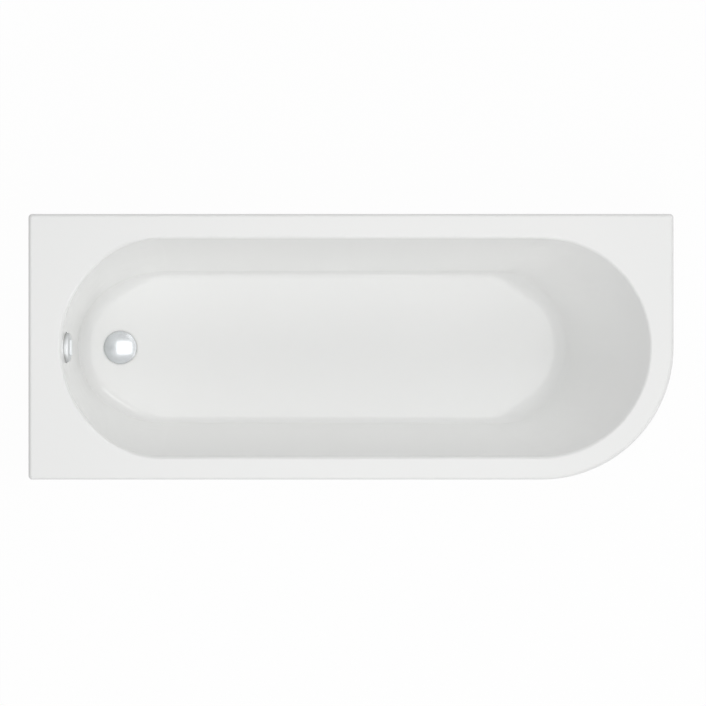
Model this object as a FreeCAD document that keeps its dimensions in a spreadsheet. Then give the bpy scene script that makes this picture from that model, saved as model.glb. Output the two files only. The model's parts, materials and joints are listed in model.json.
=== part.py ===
"""J-shaped acrylic bath with its legs, wrap-round panel and turn-dial pop-up waste.

Frame: millimetres, +Z up, origin on the floor under the middle of the footprint.
+X runs from the drain (foot) end to the curved backrest (head) end, and +Y towards the wall.
"""

import FreeCAD, Part
import math
import os
import Sketcher
from FreeCAD import Placement, Rotation, Vector

# Driving dimensions in millimetres and degrees
SIZES = {
    # Rim and basin
    "bath_length": 1700,
    "bath_width": 700,
    "rim_height": 570,
    "rim_front": 60,
    "rim_back": 64,
    "rim_foot": 85,
    "rim_head": 60,
    "shell_wall": 6,
    "lip_height": 40,
    "lip_inner_corner": 4,
    "lip_edge_radius": 8,
    "rim_edge_radius": 10,
    "floor_height": 170,
    "side_draft": 13,
    "foot_draft": 7.2,
    "backrest_angle": 30.7,
    "side_fillet": 20,
    "foot_fillet": 45,
    "head_fillet": 62,
    "floor_fall": 6,
    "floor_bed": 1,
    "end_blend_angle": 55,
    "foot_rim_crown": 52,
    "foot_floor_corner": 275,
    "head_floor_corner": 185,
    # Clearances and small fixings
    "running_clearance": 0.06,
    "screw_clearance": 0.05,
    "thread_clearance": 0.15,
    "screw_radius": 2.2,
    "screw_head_radius": 4.5,
    "screw_head_height": 3,
    "screw_bite": 12,
    # Waste flange, plug and gaskets
    "drain_setback": 242,
    "drain_hole_radius": 27,
    "drain_seat_radius": 46,
    "drain_seat_depth": 2,
    "gasket_thin": 1,
    "gasket_thick": 4,
    "flange_radius": 43.5,
    "flange_thickness": 2.5,
    "flange_edge": 0.8,
    "flange_bevel": 4,
    "gasket_inset": 2,
    "throat_radius": 23,
    "tube_wall": 2,
    "tube_length": 34,
    "seat_cone": 3,
    "spider_drop": 12,
    "spider_height": 8,
    "spider_hub_radius": 7,
    "spider_bar_width": 4,
    "plug_radius": 40,
    "plug_edge": 1.5,
    "plug_crown": 6.5,
    "plug_gap": 0.8,
    "plug_boss_radius": 12,
    "plug_boss_height": 3,
    "plug_socket_depth": 5,
    "seal_gap": 0.35,
    "stem_radius": 4,
    "stem_gap": 0.45,
    # Waste body, lift lever and trap
    "collar_radius": 38,
    "collar_thickness": 5,
    "waste_wall": 3,
    "chamber_drop": 34,
    "chamber_height": 30,
    "chamber_radius": 30,
    "outlet_radius": 20,
    "outlet_length": 20,
    "pipe_wall": 2.5,
    "branch_reach": 52,
    "lever_pivot_drop": 4,
    "lever_arm": 20,
    "lever_overhang": 4,
    "lever_tail": 13,
    "lever_thickness": 5,
    "lever_width": 8,
    "lever_hub_radius": 5,
    "lever_rest_angle": 14.5,
    "pin_radius": 2,
    "trap_bend_radius": 30,
    "trap_neck": 17,
    "trap_tail": 20,
    "trap_seal": 2,
    "outlet_pipe_length": 80,
    "pipe_bead": 1.5,
    "nut_wall": 4,
    "nut_length": 24,
    "nut_rib": 1.5,
    "nut_rib_width": 5,
    "nut_rib_count": 10,
    # Overflow, dial, hose and control cable
    "overflow_drop": 95,
    "overflow_hole_radius": 25,
    "land_radius": 42,
    "land_recess": 1,
    "land_rise": 2,
    "overflow_gasket_radius": 36,
    "elbow_flange_radius": 38,
    "elbow_flange_thickness": 4,
    "elbow_cup_radius": 27,
    "elbow_depth": 38,
    "elbow_lug_length": 12,
    "spindle_bush_radius": 8,
    "spindle_bush_length": 10,
    "spigot_radius": 16,
    "spigot_reach": 62,
    "face_radius": 34,
    "face_ring_width": 8,
    "face_thickness": 6,
    "face_hub_radius": 9,
    "spoke_width": 11,
    "overflow_screw_spacing": 38,
    "spindle_radius": 5,
    "drum_radius": 14,
    "drum_width": 6,
    "dial_radius": 38,
    "dial_wall": 3,
    "dial_skirt": 9,
    "dial_water_gap": 2,
    "dial_edge_round": 6,
    "dial_boss_radius": 8,
    "dial_boss_height": 1.5,
    "grip_length": 44,
    "grip_width": 9,
    "grip_height": 5,
    "hose_rib_radius": 18,
    "hose_root_radius": 15.5,
    "hose_cuff": 22,
    "hose_bend_radius": 62,
    "rib_pitch": 9,
    "cable_radius": 2,
    "cable_gap": 0.6,
    # Baseboard, legs and feet
    "board_thickness": 16,
    "board_width": 330,
    "board_foot_setback": 330,
    "board_head_setback": 410,
    "board_corner": 40,
    "rail_foot_setback": 450,
    "rail_head_setback": 520,
    "rail_end_gap": 50,
    "rail_width": 40,
    "rail_depth": 25,
    "rail_gauge": 2,
    "rail_screw_spacing": 200,
    "stud_end_gap": 60,
    "stud_radius": 6,
    "stud_hole_clearance": 0.5,
    "stud_projection": 17,
    "stud_nut_flats": 19,
    "stud_nut_height": 8,
    "pad_radius": 28,
    "pad_height": 22,
    "pad_edge": 5,
    "pad_shoulder": 14,
    "pad_neck_radius": 11,
    "pad_socket_floor": 8,
    "plate_width": 80,
    "plate_thickness": 3,
    "plate_screw_spacing": 56,
    "sleeve_radius": 10,
    "sleeve_length": 45,
    "centre_stud_gap": 17,
    # Battens, panel and wall brackets
    "batten_width": 18,
    "batten_height": 25,
    "batten_gap": 3,
    "batten_setback": 26,
    "panel_wall": 4,
    "panel_gap": 2,
    "panel_floor_gap": 20,
    "panel_top_gap": 8,
    "panel_top_flange": 18,
    "panel_foot_flange": 25,
    "clip_gauge": 2,
    "clip_width": 30,
    "clip_reach": 15,
    "clip_first_setback": 120,
    "clip_last_setback": 92,
    "clip_count": 4,
    "stay_gauge": 3,
    "stay_end_gap": 5,
    "bracket_gauge": 2.5,
    "bracket_width": 60,
    "bracket_drop": 58,
    "bracket_hook_rise": 20,
    "bracket_hook_gap": 2,
    "bracket_spacing": 900,
    "bracket_hole_radius": 3.5,
    "bracket_hole_spacing": 36,
    "bracket_hole_drop": 36,
}

doc = FreeCAD.newDocument("JShapedBath")
sheet = doc.addObject("Spreadsheet::Sheet", "Sizes")
for row, (alias, size) in enumerate(SIZES.items(), start=1):
    sheet.set(f"A{row}", str(size))
    sheet.setAlias(f"A{row}", alias)
doc.recompute()

pieces = []


def named(expression):
    """The expression with each driving dimension written as a reference to its cell."""
    words = []
    word = ""
    for letter in str(expression) + " ":
        if letter.isalnum() or letter in "_.":
            word += letter
            continue
        words.append(f"Sizes.{word}" if word in SIZES else word)
        words.append(letter)
        word = ""
    return "".join(words).strip()


def value_of(expression):
    """What the expression comes to with the dimensions now in the sheet."""
    return float(sheet.evalExpression(named(expression)))


def point_of(x, y, z):
    """A point from three expressions."""
    return Vector(value_of(x), value_of(y), value_of(z))


def bind(item, prop, expression):
    """Binds a property to the sheet."""
    item.setExpression(prop, named(expression))


def new_body(label, kept=True):
    """A body, which is a piece of the bath unless it is only copied into a group."""
    body = doc.addObject("PartDesign::Body", label)
    body.Label = label
    if kept:
        pieces.append(body)
    return body


def place(item, x="0", y="0", z="0", about=Vector(0, 0, 1), angle="0"):
    """Puts a piece at x, y, z, turned about an axis."""
    item.Placement = Placement(Vector(), Rotation(about, value_of(angle)))
    for axis, expression in zip("xyz", (x, y, z)):
        bind(item, f"Placement.Base.{axis}", expression)
    if angle != "0":
        bind(item, "Placement.Rotation.Angle", angle)


def new_sketch(body, plane, base=("0", "0", "0"), angle="0", about=Vector(0, 1, 0)):
    """A sketch on one of the body's origin planes, moved by base and turned about its own axis."""
    sketch = body.newObject("Sketcher::SketchObject", "Sketch")
    support = next(f for f in body.Origin.OriginFeatures if f.Role == plane)
    sketch.AttachmentSupport = (support, [""])
    sketch.MapMode = "FlatFace"
    sketch.AttachmentOffset = Placement(Vector(), Rotation(about, value_of(angle)))
    for axis, expression in zip("xyz", base):
        bind(sketch, f"AttachmentOffset.Base.{axis}", expression)
    if angle != "0":
        bind(sketch, "AttachmentOffset.Rotation.Angle", angle)
    return sketch


def arc_between(start, end, radius, turn):
    """The arc of up to a half turn from start to end; turn is +1 anticlockwise and -1 clockwise."""
    chord = end - start
    half = chord.Length / 2
    left = Vector(-chord.y, chord.x, 0).normalize()
    rise = radius - math.sqrt(max(radius**2 - half**2, 0))
    return Part.Arc(start, (start + end) / 2 - left * (rise * turn), end)


def pin_point(sketch, side, end, corner):
    """Binds the place of one end of a side to the sheet."""
    for kind, expression in zip(("DistanceX", "DistanceY"), corner):
        constraint = Sketcher.Constraint(kind, -1, 1, side, end, value_of(expression))
        bind(sketch, f"Constraints[{sketch.addConstraint(constraint)}]", expression)


def outline(sketch, corners, closed=True):
    """Draws an outline, or an open path, whose corners and radii are bound to the sheet.

    Each corner is (x, y) where a straight side starts, or (x, y, radius, turn) where an arc starts.
    """
    points = [Vector(value_of(corner[0]), value_of(corner[1]), 0) for corner in corners]
    count = len(corners)
    sides = count if closed else count - 1
    first = sketch.GeometryCount
    for i in range(sides):
        start, end = points[i], points[(i + 1) % count]
        if len(corners[i]) == 2:
            sketch.addGeometry(Part.LineSegment(start, end))
        else:
            sketch.addGeometry(arc_between(start, end, value_of(corners[i][2]), corners[i][3]))
    starts = [2 if len(corner) == 4 and corner[3] < 0 else 1 for corner in corners]
    for i in range(sides):
        pin_point(sketch, first + i, starts[i], corners[i])
        if i + 1 < sides or closed:
            following = (i + 1) % count
            joint = Sketcher.Constraint(
                "Coincident", first + i, 3 - starts[i], first + following, starts[following]
            )
            sketch.addConstraint(joint)
        else:
            pin_point(sketch, first + i, 3 - starts[i], corners[count - 1])
        if len(corners[i]) == 4:
            radius = Sketcher.Constraint("Radius", first + i, value_of(corners[i][2]))
            bind(sketch, f"Constraints[{sketch.addConstraint(radius)}]", corners[i][2])
    return sketch


def circle(sketch, radius, x="0", y="0"):
    """Draws a circle bound to the sheet."""
    middle = Vector(value_of(x), value_of(y), 0)
    side = sketch.addGeometry(Part.Circle(middle, Vector(0, 0, 1), value_of(radius)))
    pin_point(sketch, side, 3, (x, y))
    constraint = Sketcher.Constraint("Radius", side, value_of(radius))
    bind(sketch, f"Constraints[{sketch.addConstraint(constraint)}]", radius)
    return sketch


def circles(sketch, radius, places):
    """Draws equal circles."""
    for x, y in places:
        circle(sketch, radius, x, y)
    return sketch


def rectangle(left, low, right, high):
    """The corners of a rectangle, anticlockwise."""
    return [(left, low), (right, low), (right, high), (left, high)]


def rounded(left, low, right, high, radius):
    """The corners of a rectangle with round corners, anticlockwise."""
    return [
        (f"{left} + {radius}", low),
        (f"{right} - {radius}", low, radius, 1),
        (right, f"{low} + {radius}"),
        (right, f"{high} - {radius}", radius, 1),
        (f"{right} - {radius}", high),
        (f"{left} + {radius}", high, radius, 1),
        (left, f"{high} - {radius}"),
        (left, f"{low} + {radius}", radius, 1),
    ]


def extrude(body, kind, sketch, length, back=False, both=False):
    """A pad or pocket of a sketch, along its normal, against it, or half each way."""
    feature = body.newObject(f"PartDesign::{kind}", kind)
    feature.Profile = sketch
    feature.AllowMultiFace = True
    feature.SideType = "Symmetric" if both else "One side"
    feature.Reversed = back
    bind(feature, "Length", length)
    doc.recompute()
    return feature


def pad(body, sketch, length, back=False, both=False):
    """Adds a sketch's extrusion to a body."""
    return extrude(body, "Pad", sketch, length, back, both)


def pocket(body, sketch, length, back=False, both=False):
    """Cuts a sketch's extrusion out of a body, against the sketch's normal unless back is set."""
    return extrude(body, "Pocket", sketch, length, back, both)


def revolve(body, corners, base=("0", "0", "0")):
    """Turns a profile of (radius, height) corners about the body's Z axis."""
    sketch = outline(new_sketch(body, "XZ_Plane", base), corners)
    feature = body.newObject("PartDesign::Revolution", "Revolution")
    feature.Profile = sketch
    feature.ReferenceAxis = (sketch, ["V_Axis"])
    feature.Angle = 360
    doc.recompute()
    return feature


def turned(label, corners, kept=True):
    """A piece made by one turned profile."""
    body = new_body(label, kept)
    revolve(body, corners)
    return body


def ring(label, inner, outer, low, high):
    """A flat ring such as a gasket."""
    return turned(label, rectangle(inner, low, outer, high))


def edges_where(feature, test):
    """The names of the feature's edges that pass the test."""
    return [f"Edge{i}" for i, edge in enumerate(feature.Shape.Edges, start=1) if test(edge)]


def round_edges(body, feature, radius, test):
    """Fillets the edges that pass the test."""
    chosen = edges_where(feature, test)
    if not chosen:
        raise ValueError(f"{body.Label}: no edge to round")
    fillet = body.newObject("PartDesign::Fillet", "Fillet")
    fillet.Base = (feature, chosen)
    bind(fillet, "Radius", radius)
    doc.recompute()
    return fillet


def round_ring(base, more, test):
    """Fillets a closed ring of edges by one radius on its straight sides and others at its foot and head.

    The radius changes steadily along the corners between them. Each is larger than its named size by more.
    """
    ring = [(i, edge) for i, edge in enumerate(base.Shape.Edges, start=1) if test(edge)]
    corners = []
    for _, edge in ring:
        run = edge.Vertexes[1].Point - edge.Vertexes[0].Point
        if abs(run.y) < abs(run.x) / 20:
            corners += [vertex.Point for vertex in edge.Vertexes]
    if not corners:
        raise ValueError(f"{base.Label}: no edge to round")

    def radius_at(vertex):
        if any(vertex.Point.isEqual(corner, 0.01) for corner in corners):
            return value_of(f"side_fillet + {more}")
        return value_of(f"foot_fillet + {more}" if vertex.X < 0 else f"head_fillet + {more}")

    start = max(range(len(ring)), key=lambda n: ring[n][1].BoundBox.Center.x)
    fillet = doc.addObject("Part::Fillet", "Fillet")
    fillet.Base = base
    order = ring[start:] + ring[:start]
    fillet.Edges = [(i, *(radius_at(vertex) for vertex in edge.Vertexes)) for i, edge in order]
    doc.recompute()
    return fillet


def group(label, *sets):
    """One node of loose pieces; each set is a body and the placements that its copies have."""
    item = doc.addObject("Part::Feature", label)
    item.Label = label
    solids = []
    for body, placements in sets:
        for placement in placements:
            solid = body.Shape.copy()
            solid.Placement = placement * solid.Placement
            solids.append(solid)
    item.Shape = Part.makeCompound(solids)
    pieces.append(item)
    return item


# Plan of the rim and basin
HALF_OPENING = "((bath_width - rim_front - rim_back) / 2)"
BASIN_Y = "((rim_front - rim_back) / 2)"
HEAD_RIM_X = "(bath_length / 2 - rim_head)"
FOOT_RIM_X = "(-bath_length / 2 + rim_foot)"
CURVE_RADIUS = f"({HALF_OPENING} + rim_front)"
CURVE_X = f"(bath_length / 2 - {CURVE_RADIUS})"
CURVE_Y = f"({CURVE_RADIUS} - bath_width / 2)"
BASIN_DEPTH = "(rim_height - floor_height)"
SIDE_RUN = f"({BASIN_DEPTH} * tan(side_draft * 1 deg))"
FOOT_RUN = f"({BASIN_DEPTH} * tan(foot_draft * 1 deg))"
HEAD_RUN = f"({BASIN_DEPTH} * tan(backrest_angle * 1 deg))"

# Levels
FLOOR_Z = "floor_height"
UNDER_Z = f"({FLOOR_Z} - shell_wall)"
DECK_Z = "(rim_height - shell_wall)"
LIP_Z = "(rim_height - lip_height)"
FOOT_FLOOR_X = f"({FOOT_RIM_X} + {FOOT_RUN})"
HEAD_FLOOR_X = f"({HEAD_RIM_X} - {HEAD_RUN})"
FLOOR_SLOPE = f"(floor_fall / ({HEAD_FLOOR_X} - {FOOT_FLOOR_X}))"


def floor_level(x):
    """The height of the sloping floor at x."""
    return f"({FLOOR_Z} + floor_bed + ({x} - {FOOT_FLOOR_X}) * {FLOOR_SLOPE})"


# Drain axis, and the overflow's frame: its Z leaves the foot wall at a right angle, its X runs down it
DRAIN_X = "(-bath_length / 2 + drain_setback)"
SEAT_Z = f"({floor_level(DRAIN_X)} - drain_seat_depth)"
LAND_WALL = "(shell_wall + land_rise - land_recess)"
OVERFLOW_X = (
    f"({FOOT_RIM_X} + overflow_drop * tan(foot_draft * 1 deg) - land_recess * cos(foot_draft * 1 deg))"
)
OVERFLOW_Z = "(rim_height - overflow_drop - land_recess * sin(foot_draft * 1 deg))"
OVERFLOW_TURN = "(90 - foot_draft)"
HOSE_BORE = "(spigot_radius - pipe_wall)"
SCREW_HOLE = "(screw_radius + screw_clearance)"


def on_drain(item, z):
    """Puts a piece on the drain axis."""
    place(item, DRAIN_X, BASIN_Y, z)


def on_overflow(item):
    """Puts a piece on the overflow axis, with its Z = 0 on the basin's wall."""
    place(item, OVERFLOW_X, BASIN_Y, OVERFLOW_Z, Vector(0, 1, 0), OVERFLOW_TURN)


def rim_outline(inset):
    """The J-shaped outline of the rim, moved in by inset."""
    right = f"(bath_length / 2 - {inset})"
    top = f"(bath_width / 2 - {inset})"
    corner = f"(lip_inner_corner + shell_wall - {inset})"
    curve = f"({CURVE_RADIUS} - {inset})"
    return [
        (f"{corner} - {right}", f"-{top}"),
        (CURVE_X, f"-{top}", curve, 1),
        (right, CURVE_Y),
        (right, f"{top} - {corner}", corner, 1),
        (f"{right} - {corner}", top),
        (f"{corner} - {right}", top, corner, 1),
        (f"-{right}", f"{top} - {corner}"),
        (f"-{right}", f"{corner} - {top}", corner, 1),
    ]


def basin_outline(foot_x, head_x, half, foot_corner, head_corner):
    """A long oval: two straight sides, and an end of three arcs at the foot and at the head."""
    blend = "end_blend_angle * 1 deg"
    high, low = f"({BASIN_Y} + {half})", f"({BASIN_Y} - {half})"

    def end(tip, corner, way):
        reach = f"({corner} + ({half} - {corner}) * tan({blend} / 2))"
        start_x = f"({tip} - {way} * {reach})"
        join_x = f"({start_x} + {way} * {corner} * cos({blend}))"
        join_y = f"({half} - {corner} + {corner} * sin({blend}))"
        crown = f"({corner} + ({half} - {corner}) / sin({blend}))"
        return start_x, join_x, join_y, crown

    head, join_head, rise_head, crown_head = end(head_x, head_corner, "1")
    foot, join_foot, rise_foot, crown_foot = end(foot_x, foot_corner, "(-1)")
    return [
        (foot, low),
        (head, low, head_corner, 1),
        (join_head, f"{BASIN_Y} - {rise_head}", crown_head, 1),
        (join_head, f"{BASIN_Y} + {rise_head}", head_corner, 1),
        (head, high),
        (foot, high, foot_corner, 1),
        (join_foot, f"{BASIN_Y} + {rise_foot}", crown_foot, 1),
        (join_foot, f"{BASIN_Y} - {rise_foot}", foot_corner, 1),
    ]


def basin_rim(skin):
    """The basin's outline at the rim, grown by a wall of thickness skin."""
    side = f"({HALF_OPENING} + {skin} / cos(side_draft * 1 deg))"
    return basin_outline(
        f"({FOOT_RIM_X} - {skin} / cos(foot_draft * 1 deg))",
        f"({HEAD_RIM_X} + {skin} / cos(backrest_angle * 1 deg))",
        side,
        f"({HALF_OPENING} - foot_rim_crown + {skin})",
        side,
    )


def basin_floor(skin):
    """The basin's outline at its floor, or at the underside of a floor of thickness skin."""

    def grown(angle):
        return f"{skin} * (1 / cos({angle} * 1 deg) - tan({angle} * 1 deg))"

    return basin_outline(
        f"({FOOT_FLOOR_X} - {grown('foot_draft')})",
        f"({HEAD_FLOOR_X} + {grown('backrest_angle')})",
        f"({HALF_OPENING} - {SIDE_RUN} + {grown('side_draft')})",
        f"(foot_floor_corner + {skin})",
        f"(head_floor_corner + {skin})",
    )


def floor_bed():
    """The outline of the sloping floor's bed, which ends half way through the walls."""

    def sunk(angle):
        rise = f"(floor_bed + floor_fall) * tan({angle} * 1 deg)"
        wall = f"shell_wall / cos({angle} * 1 deg)"
        return f"({rise} + {wall}) / 2"

    return basin_outline(
        f"({FOOT_FLOOR_X} - {sunk('foot_draft')})",
        f"({HEAD_FLOOR_X} + {sunk('backrest_angle')})",
        f"({HALF_OPENING} - {SIDE_RUN} + {sunk('side_draft')})",
        f"(foot_floor_corner + {sunk('foot_draft')})",
        f"(head_floor_corner + {sunk('backrest_angle')})",
    )


def loft(body, kind, top, bottom):
    """A ruled loft between two sketches."""
    feature = body.newObject(f"PartDesign::{kind}", kind)
    feature.Profile = top
    feature.Sections = [bottom]
    feature.Ruled = True
    doc.recompute()
    return feature


def make_bath_shell():
    """Rim deck with a turned-down lip and the basin hung from it, moulded in one wall thickness."""
    form = new_body("shell_form", kept=False)
    pad(form, outline(new_sketch(form, "XY_Plane", ("0", "0", LIP_Z)), rim_outline("0")), "lip_height")
    under = outline(new_sketch(form, "XY_Plane", ("0", "0", LIP_Z)), rim_outline("shell_wall"))
    pocket(form, under, "lip_height - shell_wall", back=True)

    top = outline(new_sketch(form, "XY_Plane", ("0", "0", "rim_height")), basin_rim("shell_wall"))
    low = outline(new_sketch(form, "XY_Plane", ("0", "0", UNDER_Z)), basin_floor("shell_wall"))
    loft(form, "AdditiveLoft", top, low)
    top = outline(new_sketch(form, "XY_Plane", ("0", "0", "rim_height")), basin_rim("0"))
    low = outline(new_sketch(form, "XY_Plane", ("0", "0", FLOOR_Z)), basin_floor("0"))
    loft(form, "SubtractiveLoft", top, low)
    top = new_sketch(form, "XY_Plane", ("0", "0", floor_level("0")), f"-atan({FLOOR_SLOPE})")
    low = new_sketch(form, "XY_Plane", ("0", "0", f"{FLOOR_Z} - shell_wall / 2"))
    loft(form, "AdditiveLoft", outline(top, floor_bed()), outline(low, floor_bed()))

    middle_z, slope = value_of(floor_level("0")), value_of(FLOOR_SLOPE)
    under_z, rim_z = value_of(UNDER_Z), value_of("rim_height")
    opening = FreeCAD.BoundBox(
        value_of(f"{FOOT_RIM_X} - rim_foot / 2"),
        value_of("-bath_width / 2 + rim_front / 2"),
        0,
        value_of(f"{HEAD_RIM_X} + rim_head / 2"),
        value_of("bath_width / 2 - rim_back / 2"),
        rim_z + 1,
    )

    def on_floor(edge):
        return all(abs(v.Z - middle_z - slope * v.X) < 0.01 for v in edge.Vertexes)

    def on_underside(edge):
        return abs(edge.BoundBox.ZMax - under_z) < 0.01

    def on_rim(edge):
        return edge.BoundBox.ZMin > rim_z - 0.01

    def round_opening(edge):
        return on_rim(edge) and opening.isInside(edge.BoundBox)

    inside = round_ring(form, "0", on_floor)
    body = new_body("bath_shell")
    body.BaseFeature = round_ring(inside, "shell_wall", on_underside)
    doc.recompute()
    basin = round_edges(body, body.Tip, "rim_edge_radius", round_opening)
    round_edges(body, basin, "lip_edge_radius", lambda edge: on_rim(edge) and not round_opening(edge))

    seat = new_sketch(body, "XY_Plane", (DRAIN_X, BASIN_Y, SEAT_Z))
    pocket(body, circle(seat, "drain_seat_radius"), "drain_seat_depth + floor_fall", back=True)
    hole = new_sketch(body, "XY_Plane", (DRAIN_X, BASIN_Y, SEAT_Z))
    pocket(body, circle(hole, "drain_hole_radius"), "2 * shell_wall")

    def on_wall(depth):
        base = (
            f"{OVERFLOW_X} - {depth} * cos(foot_draft * 1 deg)",
            BASIN_Y,
            f"{OVERFLOW_Z} - {depth} * sin(foot_draft * 1 deg)",
        )
        return new_sketch(body, "XY_Plane", base, OVERFLOW_TURN)

    pad(body, circle(on_wall(LAND_WALL), "land_radius + shell_wall / 2"), LAND_WALL)
    pocket(body, circle(on_wall("0"), "land_radius"), "land_radius / 2", back=True)
    pocket(body, circle(on_wall("0"), "overflow_hole_radius"), "4 * shell_wall", both=True)


# Waste on the drain axis, with heights above the drain seat
FLANGE_TOP = "(gasket_thin + flange_thickness)"
TUBE_RADIUS = "(throat_radius + tube_wall)"
PLUG_BASE = f"({FLANGE_TOP} + plug_gap)"
PLUG_FOOT = f"({PLUG_BASE} - plug_boss_height)"
STEM_TOP = f"({PLUG_FOOT} + plug_socket_depth)"

# Waste body, with heights below the underside of the floor
CHAMBER_OUT = "(chamber_radius + waste_wall)"
CHAMBER_BASE = "(chamber_drop + chamber_height)"
OUTLET_END = f"({CHAMBER_BASE} + waste_wall + outlet_length)"
BRANCH_Z = f"({UNDER_Z} - chamber_drop - chamber_height / 2)"
LEVER_Z = f"({UNDER_Z} - chamber_drop - lever_pivot_drop)"
LEVER_X = f"({DRAIN_X} - lever_arm)"
LEVER_TOP = (
    f"({LEVER_Z} - lever_arm * tan(lever_rest_angle * 1 deg)"
    " + lever_thickness / 2 / cos(lever_rest_angle * 1 deg))"
)


def make_waste_flange():
    """Dished drain flange with a threaded tube and a spider that guides the plug's stem."""
    body = turned(
        "waste_flange",
        [
            (TUBE_RADIUS, "-tube_length"),
            (TUBE_RADIUS, "gasket_thin"),
            ("flange_radius", "gasket_thin"),
            ("flange_radius", "gasket_thin + flange_edge"),
            ("flange_radius - flange_bevel", FLANGE_TOP),
            ("throat_radius + seat_cone", FLANGE_TOP),
            ("throat_radius", f"{FLANGE_TOP} - seat_cone"),
            ("throat_radius", "-tube_length"),
        ],
    )
    reach, half = "(throat_radius + tube_wall / 2)", "(spider_bar_width / 2)"
    for across, along in ((reach, half), (half, reach)):
        bar = new_sketch(body, "XY_Plane", ("0", "0", "-spider_drop"))
        outline(bar, rectangle(f"-{across}", f"-{along}", across, along))
        pad(body, bar, "spider_height", back=True)
    hub = circle(new_sketch(body, "XY_Plane", ("0", "0", "-spider_drop")), "spider_hub_radius")
    pad(body, hub, "spider_height", back=True)
    bore = new_sketch(body, "XY_Plane", ("0", "0", "-spider_drop"))
    pocket(body, circle(bore, "stem_radius + running_clearance"), "spider_height")
    on_drain(body, SEAT_Z)


def make_plug():
    """Crowned plug cover, its rubber seal and the stem that the lever pushes up."""
    edge_z = f"({PLUG_BASE} + plug_edge)"
    crown_radius = "((plug_radius * plug_radius + plug_crown * plug_crown) / (2 * plug_crown))"
    socket = "(stem_radius + screw_clearance)"
    cover = turned(
        "plug_cover",
        [
            (socket, PLUG_FOOT),
            ("plug_boss_radius", PLUG_FOOT),
            ("plug_boss_radius", PLUG_BASE),
            ("plug_radius", PLUG_BASE),
            ("plug_radius", edge_z, crown_radius, 1),
            ("0", f"{edge_z} + plug_crown"),
            ("0", STEM_TOP),
            (socket, STEM_TOP),
        ],
    )
    rise = "seal_gap * sqrt(2)"
    lip_low = f"{FLANGE_TOP} - seat_cone / 2 + {rise}"
    inner = "plug_boss_radius + screw_clearance"
    seal = turned(
        "plug_seal",
        [
            (inner, lip_low),
            ("throat_radius + seat_cone / 2", lip_low),
            ("throat_radius + seat_cone", f"{FLANGE_TOP} + {rise}"),
            ("throat_radius + seat_cone", PLUG_BASE),
            (inner, PLUG_BASE),
        ],
    )
    foot = f"({LEVER_TOP} + stem_gap - {SEAT_Z})"
    stem = turned(
        "plug_stem",
        [
            ("0", foot, "stem_radius", 1),
            ("stem_radius", f"{foot} + stem_radius"),
            ("stem_radius", STEM_TOP),
            ("0", STEM_TOP),
        ],
    )
    for piece in (cover, seal, stem):
        on_drain(piece, SEAT_Z)


def make_waste_gaskets():
    """Thin seal under the flange and thick seal under the floor."""
    rim = "flange_radius - gasket_inset"
    upper = ring("waste_gasket_upper", "drain_hole_radius", rim, "0", "gasket_thin")
    lower = ring("waste_gasket_lower", "drain_hole_radius", "collar_radius", "-gasket_thick", "0")
    on_drain(upper, SEAT_Z)
    on_drain(lower, UNDER_Z)


def make_waste_body():
    """Moulded drain body: collar, threaded neck, lever chamber, outlet and overflow branch."""
    neck = f"({TUBE_RADIUS} + thread_clearance)"
    body = turned(
        "waste_body",
        [
            (neck, "-gasket_thick"),
            (neck, "-chamber_drop"),
            ("chamber_radius", "-chamber_drop"),
            ("chamber_radius", f"-{CHAMBER_BASE}"),
            ("outlet_radius - pipe_wall", f"-{CHAMBER_BASE}"),
            ("outlet_radius - pipe_wall", f"-{OUTLET_END}"),
            ("outlet_radius", f"-{OUTLET_END}"),
            ("outlet_radius", f"-{CHAMBER_BASE} - waste_wall"),
            (CHAMBER_OUT, f"-{CHAMBER_BASE} - waste_wall"),
            (CHAMBER_OUT, "waste_wall - chamber_drop"),
            (f"{neck} + waste_wall", "waste_wall - chamber_drop"),
            (f"{neck} + waste_wall", "-gasket_thick - collar_thickness"),
            ("collar_radius", "-gasket_thick - collar_thickness"),
            ("collar_radius", "-gasket_thick"),
        ],
    )
    axis_z = "-(chamber_drop + chamber_height / 2)"
    root = "sqrt(chamber_radius * chamber_radius - spigot_radius * spigot_radius)"
    branch = circle(new_sketch(body, "YZ_Plane", ("0", axis_z, f"-{root}")), "spigot_radius")
    pad(body, branch, f"branch_reach - {root}", back=True)
    bore = new_sketch(body, "YZ_Plane", ("0", axis_z, "-chamber_radius / 2"))
    pocket(body, circle(bore, HOSE_BORE), "branch_reach")
    pivot = new_sketch(body, "XZ_Plane", ("-lever_arm", "-chamber_drop - lever_pivot_drop", "0"))
    pocket(body, circle(pivot, "pin_radius + screw_clearance"), f"2 * {CHAMBER_OUT}", both=True)
    on_drain(body, UNDER_Z)


def make_lift_lever():
    """Bell crank under the plug's stem, and the pin that it turns on."""
    body = new_body("lift_lever")
    half = "(lever_thickness / 2)"
    shapes = (
        rectangle("0", f"-{half}", "lever_arm + lever_overhang", half),
        rectangle(f"-{half}", "-lever_tail", half, "0"),
    )
    tilt = {"angle": "-lever_rest_angle", "about": Vector(0, 0, 1)}
    for corners in shapes:
        pad(body, outline(new_sketch(body, "XZ_Plane", **tilt), corners), "lever_width", both=True)
    pad(body, circle(new_sketch(body, "XZ_Plane"), "lever_hub_radius"), "lever_width", both=True)
    bore = circle(new_sketch(body, "XZ_Plane"), "pin_radius + running_clearance")
    pocket(body, bore, "2 * lever_width", both=True)
    place(body, LEVER_X, BASIN_Y, LEVER_Z)

    pin = new_body("lever_pin")
    chord = f"sqrt({CHAMBER_OUT} * {CHAMBER_OUT} - lever_arm * lever_arm)"
    rod = circle(new_sketch(pin, "XZ_Plane"), "pin_radius")
    pad(pin, rod, f"2 * ({chord} - waste_wall / 3)", both=True)
    place(pin, LEVER_X, BASIN_Y, LEVER_Z)


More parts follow.
